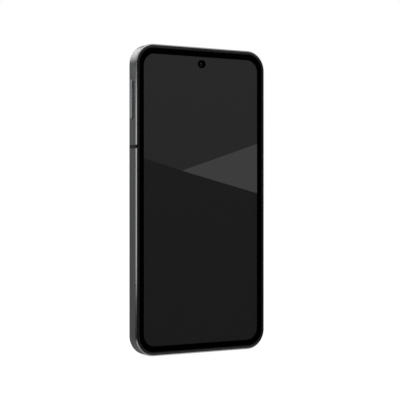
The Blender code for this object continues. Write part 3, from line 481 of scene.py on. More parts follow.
def above_line(rise):
    """1 above the line through the apex with this rise per length, and 0 below it."""
    over = z - APEX_Z - (x - APEX_X) * rise
    return screen.fade(over, -0.04 * MM, 0.04 * MM)


WEDGE_TOP_RISE, WEDGE_FOOT_RISE, CREASE_RISE, WEDGE_GREY = 0.325, -0.250, -0.275, 0.0482
right_of_apex = screen.fade(x - APEX_X, -0.02 * MM, 0.02 * MM)
wedge = right_of_apex * (1.0 - above_line(WEDGE_TOP_RISE)) * above_line(WEDGE_FOOT_RISE)
upper = (above_line(CREASE_RISE) * (1.0 - right_of_apex) + above_line(WEDGE_TOP_RISE) * right_of_apex).clip()
lower_grey = screen.fade(z, 0.0, APEX_Z, 0.0103, 0.0116)
upper_grey = screen.fade(z, APEX_Z, HEIGHT, 0.0205, 0.0218)
light = (upper * upper_grey + (1.0 - upper) * lower_grey) * (1.0 - wedge) + wedge * WEDGE_GREY
shimmer = screen.noise(3000.0, 1.0)
glow = light * (0.985 + shimmer * 0.03) * (1.0 / (1.0 - GLASS_HOLDS_BACK))
screen.set(Emission_Color=screen.node("ShaderNodeCombineColor", glow, glow, glow))
print("window", round(2 * WINDOW_HALF_WIDTH / MM, 1), "by", round(2 * WINDOW_HALF_HEIGHT / MM, 1), "mm")

# %% [markdown]
# The back glass is etched until it is satin, with a fine sparkle and a slow drift of tone. Lens windows are
# polished and coated, which tints what they mirror.

# %% Back glass and lens glass
back_glass = Finish("etched back glass", slot="back_glass")
etch, drift = back_glass.noise(14000.0, 3.0), back_glass.noise(18.0, 3.0)
satin = back_glass.blend(etch * 0.6 + drift * 0.4, (0.020, 0.021, 0.0235), (0.036, 0.037, 0.041))
back_glass.set(Base_Color=satin, Roughness=0.30 + etch * 0.14 + drift * 0.05,
               Normal=back_glass.bump(etch, 0.003 * MM, 0.35))

lens_glass = Finish("coated lens window", slot="lens_glass", Specular_IOR_Level=0.6,
                    Specular_Tint=(0.62, 0.70, 1.0), Base_Color=(0.0, 0.0, 0.0))
wipe = lens_glass.noise(300.0)
lens_glass.set(Alpha=0.10 + wipe * 0.04, Roughness=0.02 + wipe * 0.03)

lens_element = Finish("coated lens element", slot="lens_glass", Base_Color=(0.002, 0.003, 0.006),
                      Specular_IOR_Level=0.9, Specular_Tint=(0.45, 0.62, 1.0), Coat_Tint=(0.6, 0.5, 0.9),
                      Coat_Roughness=0.02)
bloom = lens_element.noise(900.0, 1.0)
lens_element.set(Roughness=0.03 + bloom * 0.04, Coat_Weight=0.5 + bloom * 0.4)

flash_glass = Finish("flash diffuser", slot="lens_glass", Specular_IOR_Level=0.5)
frost = flash_glass.noise(4000.0)
flash_glass.surface(frost, (0.62, 0.60, 0.50), (0.80, 0.79, 0.70), 0.12 + frost * 0.2, 0.01 * MM, 0.4)

gold_pad = Finish("gold-plated contact", slot="copper", Metallic=1.0)
rub = gold_pad.noise(6000.0)
gold_pad.set(Base_Color=gold_pad.blend(rub, (0.60, 0.40, 0.14), (0.86, 0.62, 0.26)),
             Roughness=0.16 + rub * 0.16)

wire_mesh = Finish("woven sound mesh", slot="steel", Metallic=0.7)
x, y, z = wire_mesh.axes()
WIRES_PER_METRE = 9000.0
weave = x.sum("PINGPONG", x * WIRES_PER_METRE, 1.0) * y.sum("PINGPONG", (y + z) * WIRES_PER_METRE, 1.0)
wire_mesh.surface(weave, (0.002, 0.002, 0.002), (0.09, 0.09, 0.095), 0.5 - weave * 0.15, 0.03 * MM, 0.7)
print("glass, screen and lens finishes made")

# %% [markdown]
# ## The rim
# A real rim is milled from one bar and parted by two moulded resin breaks, so that it can work as an
# antenna. Here a whole ring is extruded from its section: lip, chamfer, wall, chamfer, lip and the two ledges
# inside. Four such rings give the upper rim, the lower rim and the two breaks. Each is sliced by level planes
# and closed where it was cut, so that the four pieces line up all the way through.

# %% Rim ring and its openings
rim_section = [
    (0.84 * MM, RIM_FRONT), (0.54 * MM, RIM_FRONT), (0.0, RIM_FRONT + 0.52 * MM), (0.0, RIM_BACK - 0.56 * MM),
    (0.56 * MM, RIM_BACK), (0.78 * MM, RIM_BACK), (0.78 * MM, cover_low.y - 0.12 * MM),
    (1.6 * MM, cover_low.y - 0.12 * MM), (1.6 * MM, RIM_FRONT + 1.05 * MM), (0.84 * MM, RIM_FRONT + 1.05 * MM),
]
BAND_HALF, SEAM = 0.85 * MM, 0.035 * MM
PILL_DEPTH, FLANGE_LONGER, KEY_SLACK = 2.5 * MM, 2.0 * MM, 0.3 * MM


def rim_ring():
    return phone_shape(rim_section, ring=True, soften=0.07 * MM)


def sliced(bm, z, keep_above):
    """Keeps one side of a level plane, and closes the cut."""
    bmesh.ops.bisect_plane(bm, geom=bm.verts[:] + bm.edges[:] + bm.faces[:], plane_co=(0, 0, z),
                           plane_no=(0, 0, 1), clear_inner=keep_above, clear_outer=not keep_above)
    bmesh.ops.holes_fill(bm, edges=[e for e in bm.edges if e.is_boundary], sides=0)
    outwards(bm)
    return bm


def side_of(node):
    return 1 if middle_of(node)[0] > 0 else -1


def key_opening(node):
    """A slot through a side rail round a key, flared a little where it meets the rail's face."""
    side, depth = side_of(node), PILL_DEPTH + KEY_SLACK
    length = size_of(node)[2] - FLANGE_LONGER + KEY_SLACK
    levels = [(0.0, side * (HALF - 2.6 * MM)), (0.0, side * (HALF - 0.07 * MM)),
              (-0.1 * MM, side * (HALF + 0.03 * MM)), (-0.1 * MM, side * (HALF + 1.0 * MM))]
    return stack(depth, length, depth / 2 - 0.01 * MM, levels, facing="X", at=(KEY_LEVEL, middle_of(node)[1]),
                 steps=10)


def round_opening(x, radius, level=0.0, out=-1):
    """A hole into the bottom edge, or with out=1 into the top edge, countersunk at its mouth."""
    deep, shallow, clear = level - out * 3.0 * MM, level - out * 0.08 * MM, level + out * 1.0 * MM
    mouth = radius + 0.1 * MM
    profile = [(0, deep), (radius, deep), (radius, shallow), (mouth, level + out * 0.02 * MM), (mouth, clear),
               (0, clear)]
    return turned(profile, (x, KEY_LEVEL, 0), axis="Z", sides=32)


tray_low, tray_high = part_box("sim_tray")
TRAY_X, TRAY_HEAD_WIDTH, TRAY_HEAD_DEPTH = middle_of("sim_tray")[0], size_of("sim_tray")[0], 1.65 * MM
TRAY_SLACK, BLADE_LEVEL = 0.16 * MM, tray_high.y
mouth = [(0.0, HEIGHT - 3.4 * MM), (0.0, HEIGHT - 0.06 * MM), (-0.08 * MM, HEIGHT + 0.02 * MM),
         (-0.08 * MM, HEIGHT + 1.0 * MM)]
tray_opening = edge_shape(TRAY_HEAD_WIDTH + TRAY_SLACK, TRAY_HEAD_DEPTH + TRAY_SLACK,
                          TRAY_HEAD_DEPTH / 2 + 0.07 * MM, mouth, TRAY_X, steps=10)
blade_opening = stack(TRAY_HEAD_WIDTH - 2.0 * MM, 1.0 * MM, 0.05 * MM,
                      [(0.0, HEIGHT - 4.0 * MM), (0.0, HEIGHT - 1.0 * MM)],
                      facing="Z", at=(TRAY_X, BLADE_LEVEL - 0.3 * MM), steps=2)
upper = carved(sliced(rim_ring(), BAND_Z + BAND_HALF, True),
               [key_opening("volume_key"), key_opening("power_key"), tray_opening, blade_opening])
piece("rim_upper", upper, rim_metal, replaces="frame_upper")

# %% [markdown]
# The bottom edge holds the charging port, six sound holes and a small microphone hole. Each hole is a spun
# cutter with a wider mouth, because a drilled and blasted hole always has a broken edge that catches light.

# %% Lower rim and resin breaks
PORT_WIDTH, PORT_DEPTH = size_of("usb_receptacle")[:2]
SOUND_HOLES = 6
mouth = [(0.0, 3.0 * MM), (0.0, 0.12 * MM), (-0.18 * MM, -0.04 * MM), (-0.18 * MM, -1.0 * MM)]
port_opening = edge_shape(PORT_WIDTH + 0.10 * MM, PORT_DEPTH + 0.10 * MM, PORT_DEPTH / 2 + 0.04 * MM, mouth,
                          steps=16)
mesh_low, mesh_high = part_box("speaker_mesh")
first_hole, last_hole = mesh_low.x + 1.2 * MM, mesh_high.x - 1.2 * MM
sound_holes = [first_hole + (last_hole - first_hole) * i / (SOUND_HOLES - 1) for i in range(SOUND_HOLES)]
lower = carved(sliced(rim_ring(), BAND_Z - BAND_HALF, False),
               [port_opening, round_opening(middle_of("microphone")[0], 0.45 * MM)]
               + [round_opening(x, 0.7 * MM) for x in sound_holes])
piece("rim_lower", lower, rim_metal, replaces="frame_lower")
for side, name in ((-1, "antenna_band_left"), (1, "antenna_band_right")):
    band = sliced(sliced(rim_ring(), BAND_Z + BAND_HALF - SEAM, False), BAND_Z - BAND_HALF + SEAM, True)
    bmesh.ops.delete(band, geom=[v for v in band.verts if v.co.x * side < 0], context="VERTS")
    piece(name.replace("antenna_band", "resin_break"), band, band_plastic, replaces=name)

# %% [markdown]
# ## Front
# A thin plastic lip stands between the metal and the glass, so that the pane never meets the rim. It is a
# ring with a crest. The pane has a rounded rim of its own, as ground glass has.

# %% Lip, glass and screen
lip_section = [(0.90 * MM, RIM_FRONT + 0.8 * MM), (0.90 * MM, RIM_FRONT - 0.02 * MM),
               (1.02 * MM, RIM_FRONT - 0.22 * MM), (1.40 * MM, RIM_FRONT - 0.30 * MM),
               (1.72 * MM, RIM_FRONT - 0.22 * MM), (1.80 * MM, RIM_FRONT), (1.80 * MM, RIM_FRONT + 0.8 * MM)]
lip = phone_shape(lip_section, ring=True, soften=0.06 * MM)
EAR_Z, EAR_WIDTH = HEIGHT - 1.36 * MM, size_of("earpiece_mesh")[0] + 0.1 * MM
ear_slot = stack(EAR_WIDTH, 0.42 * MM, 0.2 * MM, [(0.0, RIM_FRONT - 1.0 * MM), (0.0, RIM_FRONT + 0.45 * MM)],
                 at=(0, EAR_Z), steps=8)
piece("screen_lip", carved(lip, [ear_slot]), lip_plastic, replaces="display_lip")
ear_mesh = stack(EAR_WIDTH - 0.06 * MM, 0.38 * MM, 0.18 * MM,
                 [(0.0, RIM_FRONT + 0.12 * MM), (0.0, RIM_FRONT + 0.42 * MM)], at=(0, EAR_Z), steps=8)
piece("earpiece_grille", ear_mesh, wire_mesh, replaces="earpiece_mesh")

glass_inset = HALF + glass_low.x
pane = phone_shape([(glass_inset + 0.26 * MM, glass_low.y), (glass_inset + 0.10 * MM, glass_low.y + 0.05 * MM),
                    (glass_inset + 0.02 * MM, glass_low.y + 0.16 * MM),
                    (glass_inset - 0.02 * MM, glass_low.y + 0.30 * MM),
                    (glass_inset - 0.02 * MM, glass_high.y)])
piece("front_pane", pane, front_glass, replaces="front_glass", sharp=40)


def refinish(node, finish):
    """Gives a CAD node's own mesh a new material."""
    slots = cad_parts[node].data.materials
    slots.clear()
    slots.append(finish.material)


refinish("display_panel", screen)

# %% [markdown]
# ## Keys and SIM tray
# A key is a pill of metal standing a little out of its slot, with a polished edge round its face. Behind the
# rail it widens into a flange that keeps it in, and small pegs meet the switches. It is modelled from the
# same outlines, stacked along X this time.

# %% Keys


def pressing_key(name, node, pegs):
    side, length, middle = side_of(node), size_of(node)[2] - FLANGE_LONGER, middle_of(node)[1]
    face = max(abs(corner.x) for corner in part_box(node))
    flange = HALF - 1.6 * MM - 0.3 * MM
    profile = [(0.0, side * (flange - 0.2 * MM)), (0.0, side * (face - 0.16 * MM)),
               (0.13 * MM, side * (face - 0.03 * MM)), (0.26 * MM, side * face)]
    pill = stack(PILL_DEPTH, length, PILL_DEPTH / 2 - 0.01 * MM, profile, facing="X", at=(KEY_LEVEL, middle),
                 steps=14, soften=0.03 * MM)
    plate = stack(PILL_DEPTH + 0.8 * MM, length + FLANGE_LONGER, 0.3 * MM,
                  [(0.0, side * (flange - 0.5 * MM)), (0.0, side * flange)], facing="X",
                  at=(KEY_LEVEL, middle), steps=4)
    studs = [stack(1.2 * MM, 1.6 * MM, 0.3 * MM,
                   [(0.0, side * (flange - 0.9 * MM)), (0.0, side * (flange - 0.4 * MM))],
                   facing="X", at=(KEY_LEVEL, z), steps=4) for z in pegs]
    whole = carved(pill, [plate, *studs], operation="UNION")
    piece(name, whole, key_metal, body=node, replaces=node)


pressing_key("volume_rocker", "volume_key",
             [middle_of(f"volume_switch_{end}")[1] for end in ("upper", "lower")])
pressing_key("power_button", "power_key", [middle_of("power_switch")[1]])

# %% [markdown]
# The tray's head closes its slot flush with the top edge. Its blade is a thin frame with a stepped window for
# the card, and the pin hole beside it lets a tool push the tray out.

# %% SIM tray
head = edge_shape(TRAY_HEAD_WIDTH, TRAY_HEAD_DEPTH, TRAY_HEAD_DEPTH / 2 - 0.01 * MM,
                  [(0.0, HEIGHT - 1.5 * MM), (0.0, HEIGHT - 0.07 * MM), (0.08 * MM, HEIGHT - 0.01 * MM)],
                  TRAY_X, steps=12, soften=0.02 * MM)
BLADE_WIDTH, BLADE_LOW, BLADE_HIGH = TRAY_HEAD_WIDTH - 2.2 * MM, tray_low.z, HEIGHT - 1.1 * MM
blade = stack(BLADE_WIDTH, BLADE_HIGH - BLADE_LOW, 0.9 * MM,
              [(0.0, BLADE_LEVEL - 0.55 * MM), (0.0, BLADE_LEVEL)],
              at=(TRAY_X, (BLADE_LOW + BLADE_HIGH) / 2), steps=6, soften=0.05 * MM)
CARD_WIDTH, CARD_LENGTH, CARD_SHELF = 8.9 * MM, 12.4 * MM, 0.35 * MM
window = stack(CARD_WIDTH, CARD_LENGTH, 0.8 * MM,
               [(CARD_SHELF, BLADE_LEVEL - 1.2 * MM), (CARD_SHELF, BLADE_LEVEL - 0.3 * MM),
                (0.0, BLADE_LEVEL - 0.3 * MM), (0.0, BLADE_LEVEL + 0.6 * MM)],
               at=(TRAY_X, BLADE_LOW + 1.5 * MM + CARD_LENGTH / 2), steps=4)
pin_hole = round_opening(TRAY_X + TRAY_HEAD_WIDTH / 2 - 1.6 * MM, 0.42 * MM, HEIGHT, out=1)
tray = carved(carved(head, [blade], operation="UNION"), [window, pin_hole])
piece("sim_drawer", tray, rim_metal, body="sim_tray", replaces="sim_tray")

# %% [markdown]
# ## Back and cameras
# The back is a pane too, with a rounded rim and an opening for the camera plate. The plate is one slab of
# metal with a bored place for each lens. Each lens is, from the outside in, a polished ring, a flat window, a
# black baffle that steps inwards to stop stray light, and a domed first element.

# %% Back pane and camera plate
cover_inset = HALF + cover_low.x
island_low, island_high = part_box("camera_island")
ISLAND_X, ISLAND_Z = middle_of("camera_island")
ISLAND_WIDTH, _, ISLAND_HEIGHT = size_of("camera_island")
ISLAND_CORNER = 6.5 * MM
back = phone_shape([(cover_inset - 0.15 * MM, cover_low.y),
                    (cover_inset - 0.15 * MM, cover_high.y - 0.34 * MM),
                    (cover_inset - 0.11 * MM, cover_high.y - 0.18 * MM),
                    (cover_inset, cover_high.y - 0.06 * MM), (cover_inset + 0.2 * MM, cover_high.y)])
island_opening = stack(ISLAND_WIDTH + 0.16 * MM, ISLAND_HEIGHT + 0.16 * MM, ISLAND_CORNER + 0.08 * MM,
                       [(0.0, cover_low.y - 1.0 * MM), (0.0, cover_high.y + 1.0 * MM)],
                       at=(ISLAND_X, ISLAND_Z), steps=20)
piece("back_pane", carved(back, [island_opening]), back_glass, replaces="back_cover", sharp=40)

lens_places = {name: middle_of(f"{name}_lens_ring")[1] for name in ("main", "wide")}
ring_low, ring_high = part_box("main_lens_ring")
RING_RADIUS = size_of("main_lens_ring")[0] / 2
flash_low, flash_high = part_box("flash_window")
FLASH_RADIUS = size_of("flash_window")[0] / 2


def bore(z, radius):
    """A cutter right through the plate, wider at its mouth."""
    low, high = island_low.y - 1.0 * MM, island_high.y
    return turned([(0, low), (radius, low), (radius, high - 0.06 * MM), (radius + 0.1 * MM, high + 0.04 * MM),
                   (radius + 0.1 * MM, high + 1.0 * MM), (0, high + 1.0 * MM)], (ISLAND_X, 0, z))


plate = block_at("camera_island", ISLAND_CORNER,
                 [(0.0, island_low.y), (0.0, island_high.y - 0.34 * MM), (0.34 * MM, island_high.y)],
                 steps=24, soften=0.08 * MM)
bores = [bore(z, RING_RADIUS + 0.05 * MM) for z in lens_places.values()]
bores.append(bore(ISLAND_Z, FLASH_RADIUS + 0.04 * MM))
piece("camera_plate", carved(plate, bores), rim_metal, replaces="camera_island")

# %% [markdown]
# A lens ring is turned on a lathe, so it is spun here: a flat land, a polished slope inside and out, and a
# ledge that the window sits on. The window is spun as well, with ground edges.

# %% Lens rings, windows, baffles and elements
window_low, window_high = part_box("main_lens_window")
WINDOW_RADIUS = size_of("main_lens_window")[0] / 2
LEDGE_RADIUS, ring_top = 4.1 * MM, ring_high.y


def lens_ring(z):
    mouth, ledge = WINDOW_RADIUS + 0.05 * MM, window_low.y - 0.06 * MM
    return turned([(LEDGE_RADIUS, ring_low.y), (RING_RADIUS, ring_low.y), (RING_RADIUS, ring_top - 0.36 * MM),
                   (RING_RADIUS - 0.05 * MM, ring_top - 0.24 * MM),
                   (RING_RADIUS - 0.28 * MM, ring_top - 0.03 * MM), (RING_RADIUS - 0.38 * MM, ring_top),
                   (mouth + 0.42 * MM, ring_top), (mouth + 0.34 * MM, ring_top - 0.02 * MM),
                   (mouth, ring_top - 0.22 * MM), (mouth, ledge), (LEDGE_RADIUS, ledge)],
                  (ISLAND_X, 0, z), sides=96)


def lens_window(z, radius):
    low, high = window_low.y, window_high.y
    return turned([(0, low), (radius, low), (radius, high - 0.08 * MM), (radius - 0.03 * MM, high - 0.02 * MM),
                   (radius - 0.1 * MM, high), (0, high)], (ISLAND_X, 0, z), sides=96)


def baffle(z, radius, floor, top, throat, steps=5, drop=0.16 * MM):
    """A black barrel whose mouth steps inwards, level by level, to the first element's rim."""
    mouth = radius - 0.28 * MM
    profile = [(0, floor), (radius, floor), (radius, top - 0.1 * MM), (radius - 0.1 * MM, top)]
    for i in range(steps):
        across = mouth - (mouth - throat) * i / (steps - 1)
        profile += [(across, top - drop * i), (across, top - drop * (i + 1))]
    return turned(profile + [(0, top - drop * steps)], (ISLAND_X, 0, z), sides=72)


def element(z, throat, rise, level):
    """A domed glass element: an arc of 60 degrees over a flat back."""
    arc = [(throat * sin(radians(a)) / sin(radians(60)), level + rise * (cos(radians(a)) - 0.5) / 0.5)
           for a in range(0, 61, 6)]
    back = level - 0.1 * MM
    return turned([(0, back), (throat, back), *reversed(arc)], (ISLAND_X, 0, z), sides=72)


for name, z in lens_places.items():
    piece(f"{name}_ring", lens_ring(z), bright_metal, replaces=f"{name}_lens_ring", sharp=25)
    piece(f"{name}_window", lens_window(z, WINDOW_RADIUS), lens_glass, replaces=f"{name}_lens_window")
main_z, wide_z = lens_places.values()
barrel_low, barrel_high = (corner.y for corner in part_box("main_camera_barrel"))
MAIN_THROAT, WIDE_THROAT, THROAT_GAP = 1.7 * MM, 1.25 * MM, 0.03 * MM
barrel = baffle(main_z, size_of("main_camera_barrel")[0] / 2, barrel_low, barrel_high, MAIN_THROAT)
piece("main_barrel", barrel, black_plastic, body="lens_barrel", replaces="main_camera_barrel", sharp=20)
piece("main_element", element(main_z, MAIN_THROAT - THROAT_GAP, 0.45 * MM, barrel_high - 0.78 * MM),
      lens_element, body="lens_barrel")
wide_low, wide_high = (corner.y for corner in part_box("wide_camera"))
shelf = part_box("main_camera_body")[1].y
housing = block_at("wide_camera", 0.6 * MM, [(0.0, wide_low), (0.0, shelf)], steps=6, soften=0.12 * MM)
piece("wide_housing", housing, cast_metal, replaces="wide_camera")
piece("wide_baffle", baffle(wide_z, 3.9 * MM, shelf + 0.01 * MM, wide_high, WIDE_THROAT), black_plastic,
      sharp=20)
piece("wide_element", element(wide_z, WIDE_THROAT - THROAT_GAP, 0.5 * MM, wide_high - 0.66 * MM),
      lens_element)

# %% [markdown]
# The flash is a small moulded lens whose rings bend the light forward, so its profile is a row of teeth.

# %% Flash
TEETH = 5
teeth = [(0, flash_high.y)]
for i in range(1, TEETH + 1):
    radius = FLASH_RADIUS * 0.86 * i / TEETH
    teeth += [(radius - 0.02 * MM, flash_high.y - 0.09 * MM), (radius, flash_high.y)]
fresnel = turned([(0, flash_low.y), (FLASH_RADIUS, flash_low.y), (FLASH_RADIUS, flash_high.y - 0.03 * MM),
                  (FLASH_RADIUS - 0.04 * MM, flash_high.y), *reversed(teeth)], (ISLAND_X, 0, ISLAND_Z))
piece("flash_lens", fresnel, flash_glass, replaces="flash_window", sharp=15)

# %% [markdown]
# ## Charging port
# The port is a drawn steel shell with a tongue in the middle. Gold contacts lie on both of the tongue's
# faces, twelve to a side, each a thin bar with eased edges.

# %% Port shell, tongue and contacts
shell = edge_shape(PORT_WIDTH, PORT_DEPTH, PORT_DEPTH / 2 - 0.01 * MM,
                   [(0.28 * MM, port_low.z), (0.06 * MM, port_low.z), (0.0, port_low.z + 0.08 * MM),
                    (0.0, port_high.z), (0.3 * MM, port_high.z), (0.3 * MM, port_low.z + 0.06 * MM)],
                   steps=16, ring=True)
shell_floor = edge_shape(PORT_WIDTH - 0.5 * MM, PORT_DEPTH - 0.5 * MM, PORT_DEPTH / 2 - 0.26 * MM,
                         [(0.0, port_high.z - 0.8 * MM), (0.0, port_high.z - 0.05 * MM)], steps=16)
piece("port_shell", carved(shell, [shell_floor], operation="UNION"), sheet_steel, replaces="usb_receptacle")
tongue_low, tongue_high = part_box("usb_tongue")
TONGUE_WIDTH, TONGUE_DEPTH = size_of("usb_tongue")[:2]
tongue = edge_shape(TONGUE_WIDTH, TONGUE_DEPTH, 0.2 * MM,
                    [(0.12 * MM, tongue_low.z), (0.03 * MM, tongue_low.z + 0.06 * MM),
                     (0.0, tongue_low.z + 0.2 * MM), (0.0, tongue_high.z)], steps=6)
piece("port_tongue", tongue, black_plastic, replaces="usb_tongue")
CONTACTS, CONTACT_PITCH = 12, 0.5 * MM


def contact(side, i):
    face = TONGUE_DEPTH / 2
    levels = [(0.03 * MM, KEY_LEVEL + side * (face + 0.03 * MM)), (0.0, KEY_LEVEL + side * face),
              (0.0, KEY_LEVEL + side * (face - 0.1 * MM))]
    return stack(0.26 * MM, 3.4 * MM, 0.05 * MM, levels, steps=2,
                 at=((i - (CONTACTS - 1) / 2) * CONTACT_PITCH, tongue_low.z + 2.2 * MM))


contacts = [contact(side, i) for side in (-1, 1) for i in range(CONTACTS)]
piece("port_contacts", merged(*contacts), gold_pad)

# %% [markdown]
# ## Front camera
# Behind the clear eye in the pane sits a small black barrel with a coated element, which gives the faint
# glint at its middle.

# %% Front camera
front_low, front_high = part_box("front_camera")
FRONT_EYE, FRONT_SHELF, FRONT_BARREL = front_low.y, -1.8 * MM, 1.6 * MM
can = block_at("front_camera", 0.6 * MM, [(0.0, FRONT_SHELF), (0.0, front_high.y)], steps=6, soften=0.1 * MM)
piece("front_camera_can", can, black_plastic, replaces="front_camera")
funnel = [(0, FRONT_SHELF - 0.01 * MM), (FRONT_BARREL, FRONT_SHELF - 0.01 * MM), (FRONT_BARREL, FRONT_EYE),
          (FRONT_BARREL - 0.06 * MM, FRONT_EYE - 0.06 * MM)]
STEP_IN, STEP_DOWN = 0.14 * MM, 0.09 * MM
for i in range(4):
    across, level = 1.30 * MM - STEP_IN * i, FRONT_EYE - 0.06 * MM + STEP_DOWN * i
    funnel += [(across, level), (across, level + STEP_DOWN)]
eye = turned(funnel + [(0, FRONT_EYE + 0.30 * MM)], (0, 0, CAMERA_Z), sides=48)
piece("front_camera_baffle", eye, lip_plastic, sharp=20)
dome = [(0, 0.36), (0.84, 0.36), (0.72, 0.20), (0.46, 0.09), (0.2, 0.05), (0, 0.04)]
glint = turned([(across * MM, FRONT_EYE + deep * MM) for across, deep in dome], (0, 0, CAMERA_Z), sides=48)
piece("front_camera_element", glint, lens_element, sharp=50)

# %% [markdown]
# ## Inside
# The battery is a pouch with soft edges. The shield cans are two drawn sheets, a frame and a lid that snaps
# over it, so a groove runs round each.

# %% Battery and shield cans
low, high = (corner.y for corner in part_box("battery"))
pouch = block_at("battery", 1.6 * MM,
                 [(0.9 * MM, low), (0.3 * MM, low + 0.3 * MM), (0.0, low + 0.9 * MM), (0.0, high - 0.9 * MM),
                  (0.3 * MM, high - 0.3 * MM), (0.9 * MM, high)], steps=8, soften=0.25 * MM)
piece("battery_pouch", pouch, battery_film, replaces="battery", sharp=50)
for name in ("processor", "radio"):
    low, high = (corner.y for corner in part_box(f"{name}_shield"))
    snap = low + 0.45 * (high - low)
    can = block_at(f"{name}_shield", 0.6 * MM,
                   [(0.0, low), (0.0, snap - 0.05 * MM), (0.07 * MM, snap), (0.07 * MM, snap + 0.06 * MM),
                    (0.0, snap + 0.11 * MM), (0.0, high - 0.22 * MM), (0.06 * MM, high - 0.07 * MM),
                    (0.22 * MM, high)], steps=6)
    piece(f"{name}_can", can, sheet_steel, replaces=f"{name}_shield", sharp=40)

# %% [markdown]
# Each screw has a chamfered head with a cross recess, cut by two crossed bars that narrow as they go in.

# %% Screws
SHANK_RADIUS, HEAD_THICK, RECESS = 0.6 * MM, 0.4 * MM, (1.2 * MM, 0.34 * MM)
for place in ("upper_left", "upper_middle", "upper_tray", "lower_left", "lower_middle", "lower_right"):
    node = f"screw_{place}"
    low, high = (corner.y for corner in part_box(node))
    x, z = middle_of(node)
    head, under = size_of(node)[0] / 2, high - HEAD_THICK
    blank = turned([(0, low), (SHANK_RADIUS - 0.15 * MM, low), (SHANK_RADIUS, low + 0.15 * MM),
                    (SHANK_RADIUS, under), (head, under), (head, high - 0.12 * MM), (head - 0.12 * MM, high),
                    (0, high)], (x, 0, z), sides=32)
    levels = [(0.08 * MM, high - 0.28 * MM), (-0.03 * MM, high + 0.1 * MM)]
    bars = [stack(*size, 0.12 * MM, levels, at=(x, z), steps=2) for size in (RECESS, RECESS[::-1])]
    piece(f"cross_{node}", carved(blank, bars), sheet_steel, replaces=node, sharp=30)

# %% [markdown]
# The boards carry small parts where the shields leave them bare: black packages, and rows of small
# capacitors. A package's place and a row's start are listed, and a loop fills each row.

# %% Parts on the boards
BOARD_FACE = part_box("mainboard")[1].y + 0.01 * MM


def on_board(x, z, wide, tall, thick, corner, bevel):
    """A small part standing on a board, with its place and sizes in millimetres."""
    levels = [(0.0, BOARD_FACE), (0.0, BOARD_FACE + (thick - bevel) * MM),
              (bevel * MM, BOARD_FACE + thick * MM)]
    return stack(wide * MM, tall * MM, corner * MM, levels, at=(x * MM, z * MM), steps=2)


packages = [(-17.5, 105.6, 3.2, 2.6, 0.7), (-12.6, 105.6, 2.4, 2.4, 0.6), (-8.0, 105.2, 1.8, 1.4, 0.5),
            (8.0, 105.6, 2.6, 2.0, 0.6), (-10.2, 18.6, 2.6, 2.6, 0.7), (4.4, 19.4, 2.0, 1.6, 0.6)]
chips = [on_board(*package, 0.12, 0.08) for package in packages]
piece("board_packages", merged(*chips), black_plastic, sharp=25)
rows = [(-20.6, 103.4, 9), (-14.6, 103.4, 7), (6.0, 103.6, 6), (-13.2, 16.0, 6), (0.0, 17.4, 5)]
CAPACITOR_PITCH = 0.8
capacitors = [on_board(x + CAPACITOR_PITCH * i, z, 0.5, 1.0, 0.48, 0.10, 0.06)
              for x, z, many in rows for i in range(many)]
piece("board_capacitors", merged(*capacitors), sheet_steel, sharp=25)

# %% [markdown]
# The charging coil is one wire wound flat. Its turns are spun as a row of rounded ridges, which look the same
# as a spiral and stay one closed piece.

# %% Charging coil
low, high = (corner.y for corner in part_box("charging_coil"))
COIL_OUTER, COIL_INNER, TURNS = size_of("charging_coil")[0] / 2, 10.0 * MM, 14
pitch = (COIL_OUTER - COIL_INNER) / TURNS
ridge = [(0.0, 0.14), (0.15, 0.04), (0.35, 0.0), (0.65, 0.0), (0.85, 0.04)]
strands = [(COIL_OUTER, low), (COIL_INNER, low)]
for i in range(TURNS):
    strands += [(COIL_INNER + pitch * (i + along), high - drop * MM) for along, drop in ridge]
strands.append((COIL_OUTER, high - 0.14 * MM))
coil_x, coil_z = middle_of("charging_coil")
piece("coil_winding", turned(strands, (coil_x, 0, coil_z), sides=128), copper_wire,
      replaces="charging_coil", sharp=60)

# %% [markdown]
# The other inner pieces keep the shapes that the CAD gave them. Each takes the finish of its real material.

# %% Finishes for the CAD's own pieces
inside = {
    black_plastic: ("earpiece_box", "earpiece_cone", "light_sensor", "loudspeaker_box", "loudspeaker_cone",
                    "upper_inner_cover", "lower_inner_cover", "coax_cable"),
    sheet_steel: ("microphone", "power_switch", "sim_reader", "vibration_motor_can", "vibration_motor_mass",
                  "volume_switch_lower", "volume_switch_upper"),
    cast_metal: ("chassis_plate", "main_camera_body"),
    board_lacquer: ("mainboard", "sub_board"),
    flex_film: ("display_flex", "interconnect_flex", "power_flex", "volume_flex", "battery_connector"),
    thermal_pad: ("thermal_pad", "flash_led"), wire_mesh: ("speaker_mesh",),
}
for finish, nodes in inside.items():
    for node in nodes:
        refinish(node, finish)
print("inner pieces finished:", sum(len(nodes) for nodes in inside.values()))

# %% [markdown]
# ## Stage, light and camera
# The phone stands on a plain pale floor in a white studio. A dark, glossy object is lit by what it mirrors,
# so the surroundings matter more than any lamp: pale above, below and behind on the left, with a strip far to
# the right for the right rail, and dim in front, so that the screen stays black. The floor gives off light
# too, so it is as white as the room and holds no shadow. It stays out of mirror images, or the lower half of
# the glass would turn white.

# %% Floor and surroundings
floor_shape = bmesh.new()
bmesh.ops.create_circle(floor_shape, cap_ends=True, segments=64, radius=6.0)
floor = plain_object("studio_floor", floor_shape)
pale = Finish("pale studio floor", Base_Color=(0.10, 0.10, 0.10), Roughness=0.9, Specular_IOR_Level=0.0,
              Emission_Color=(1.0, 1.0, 1.0), Emission_Strength=0.93)
floor.data.materials.append(pale.material)
floor.visible_glossy = False

world = bpy.data.worlds.new("white studio")
bpy.context.scene.world = world
world.use_nodes = True
world.node_tree.nodes.clear()


class Surroundings(Finish):
    """The same node helper, for the world instead of a material."""

    def __init__(self, tree):
        self.tree = tree


room = Surroundings(world.node_tree)
right, behind, up = room.split(room.node("ShaderNodeTexCoord", out=0))


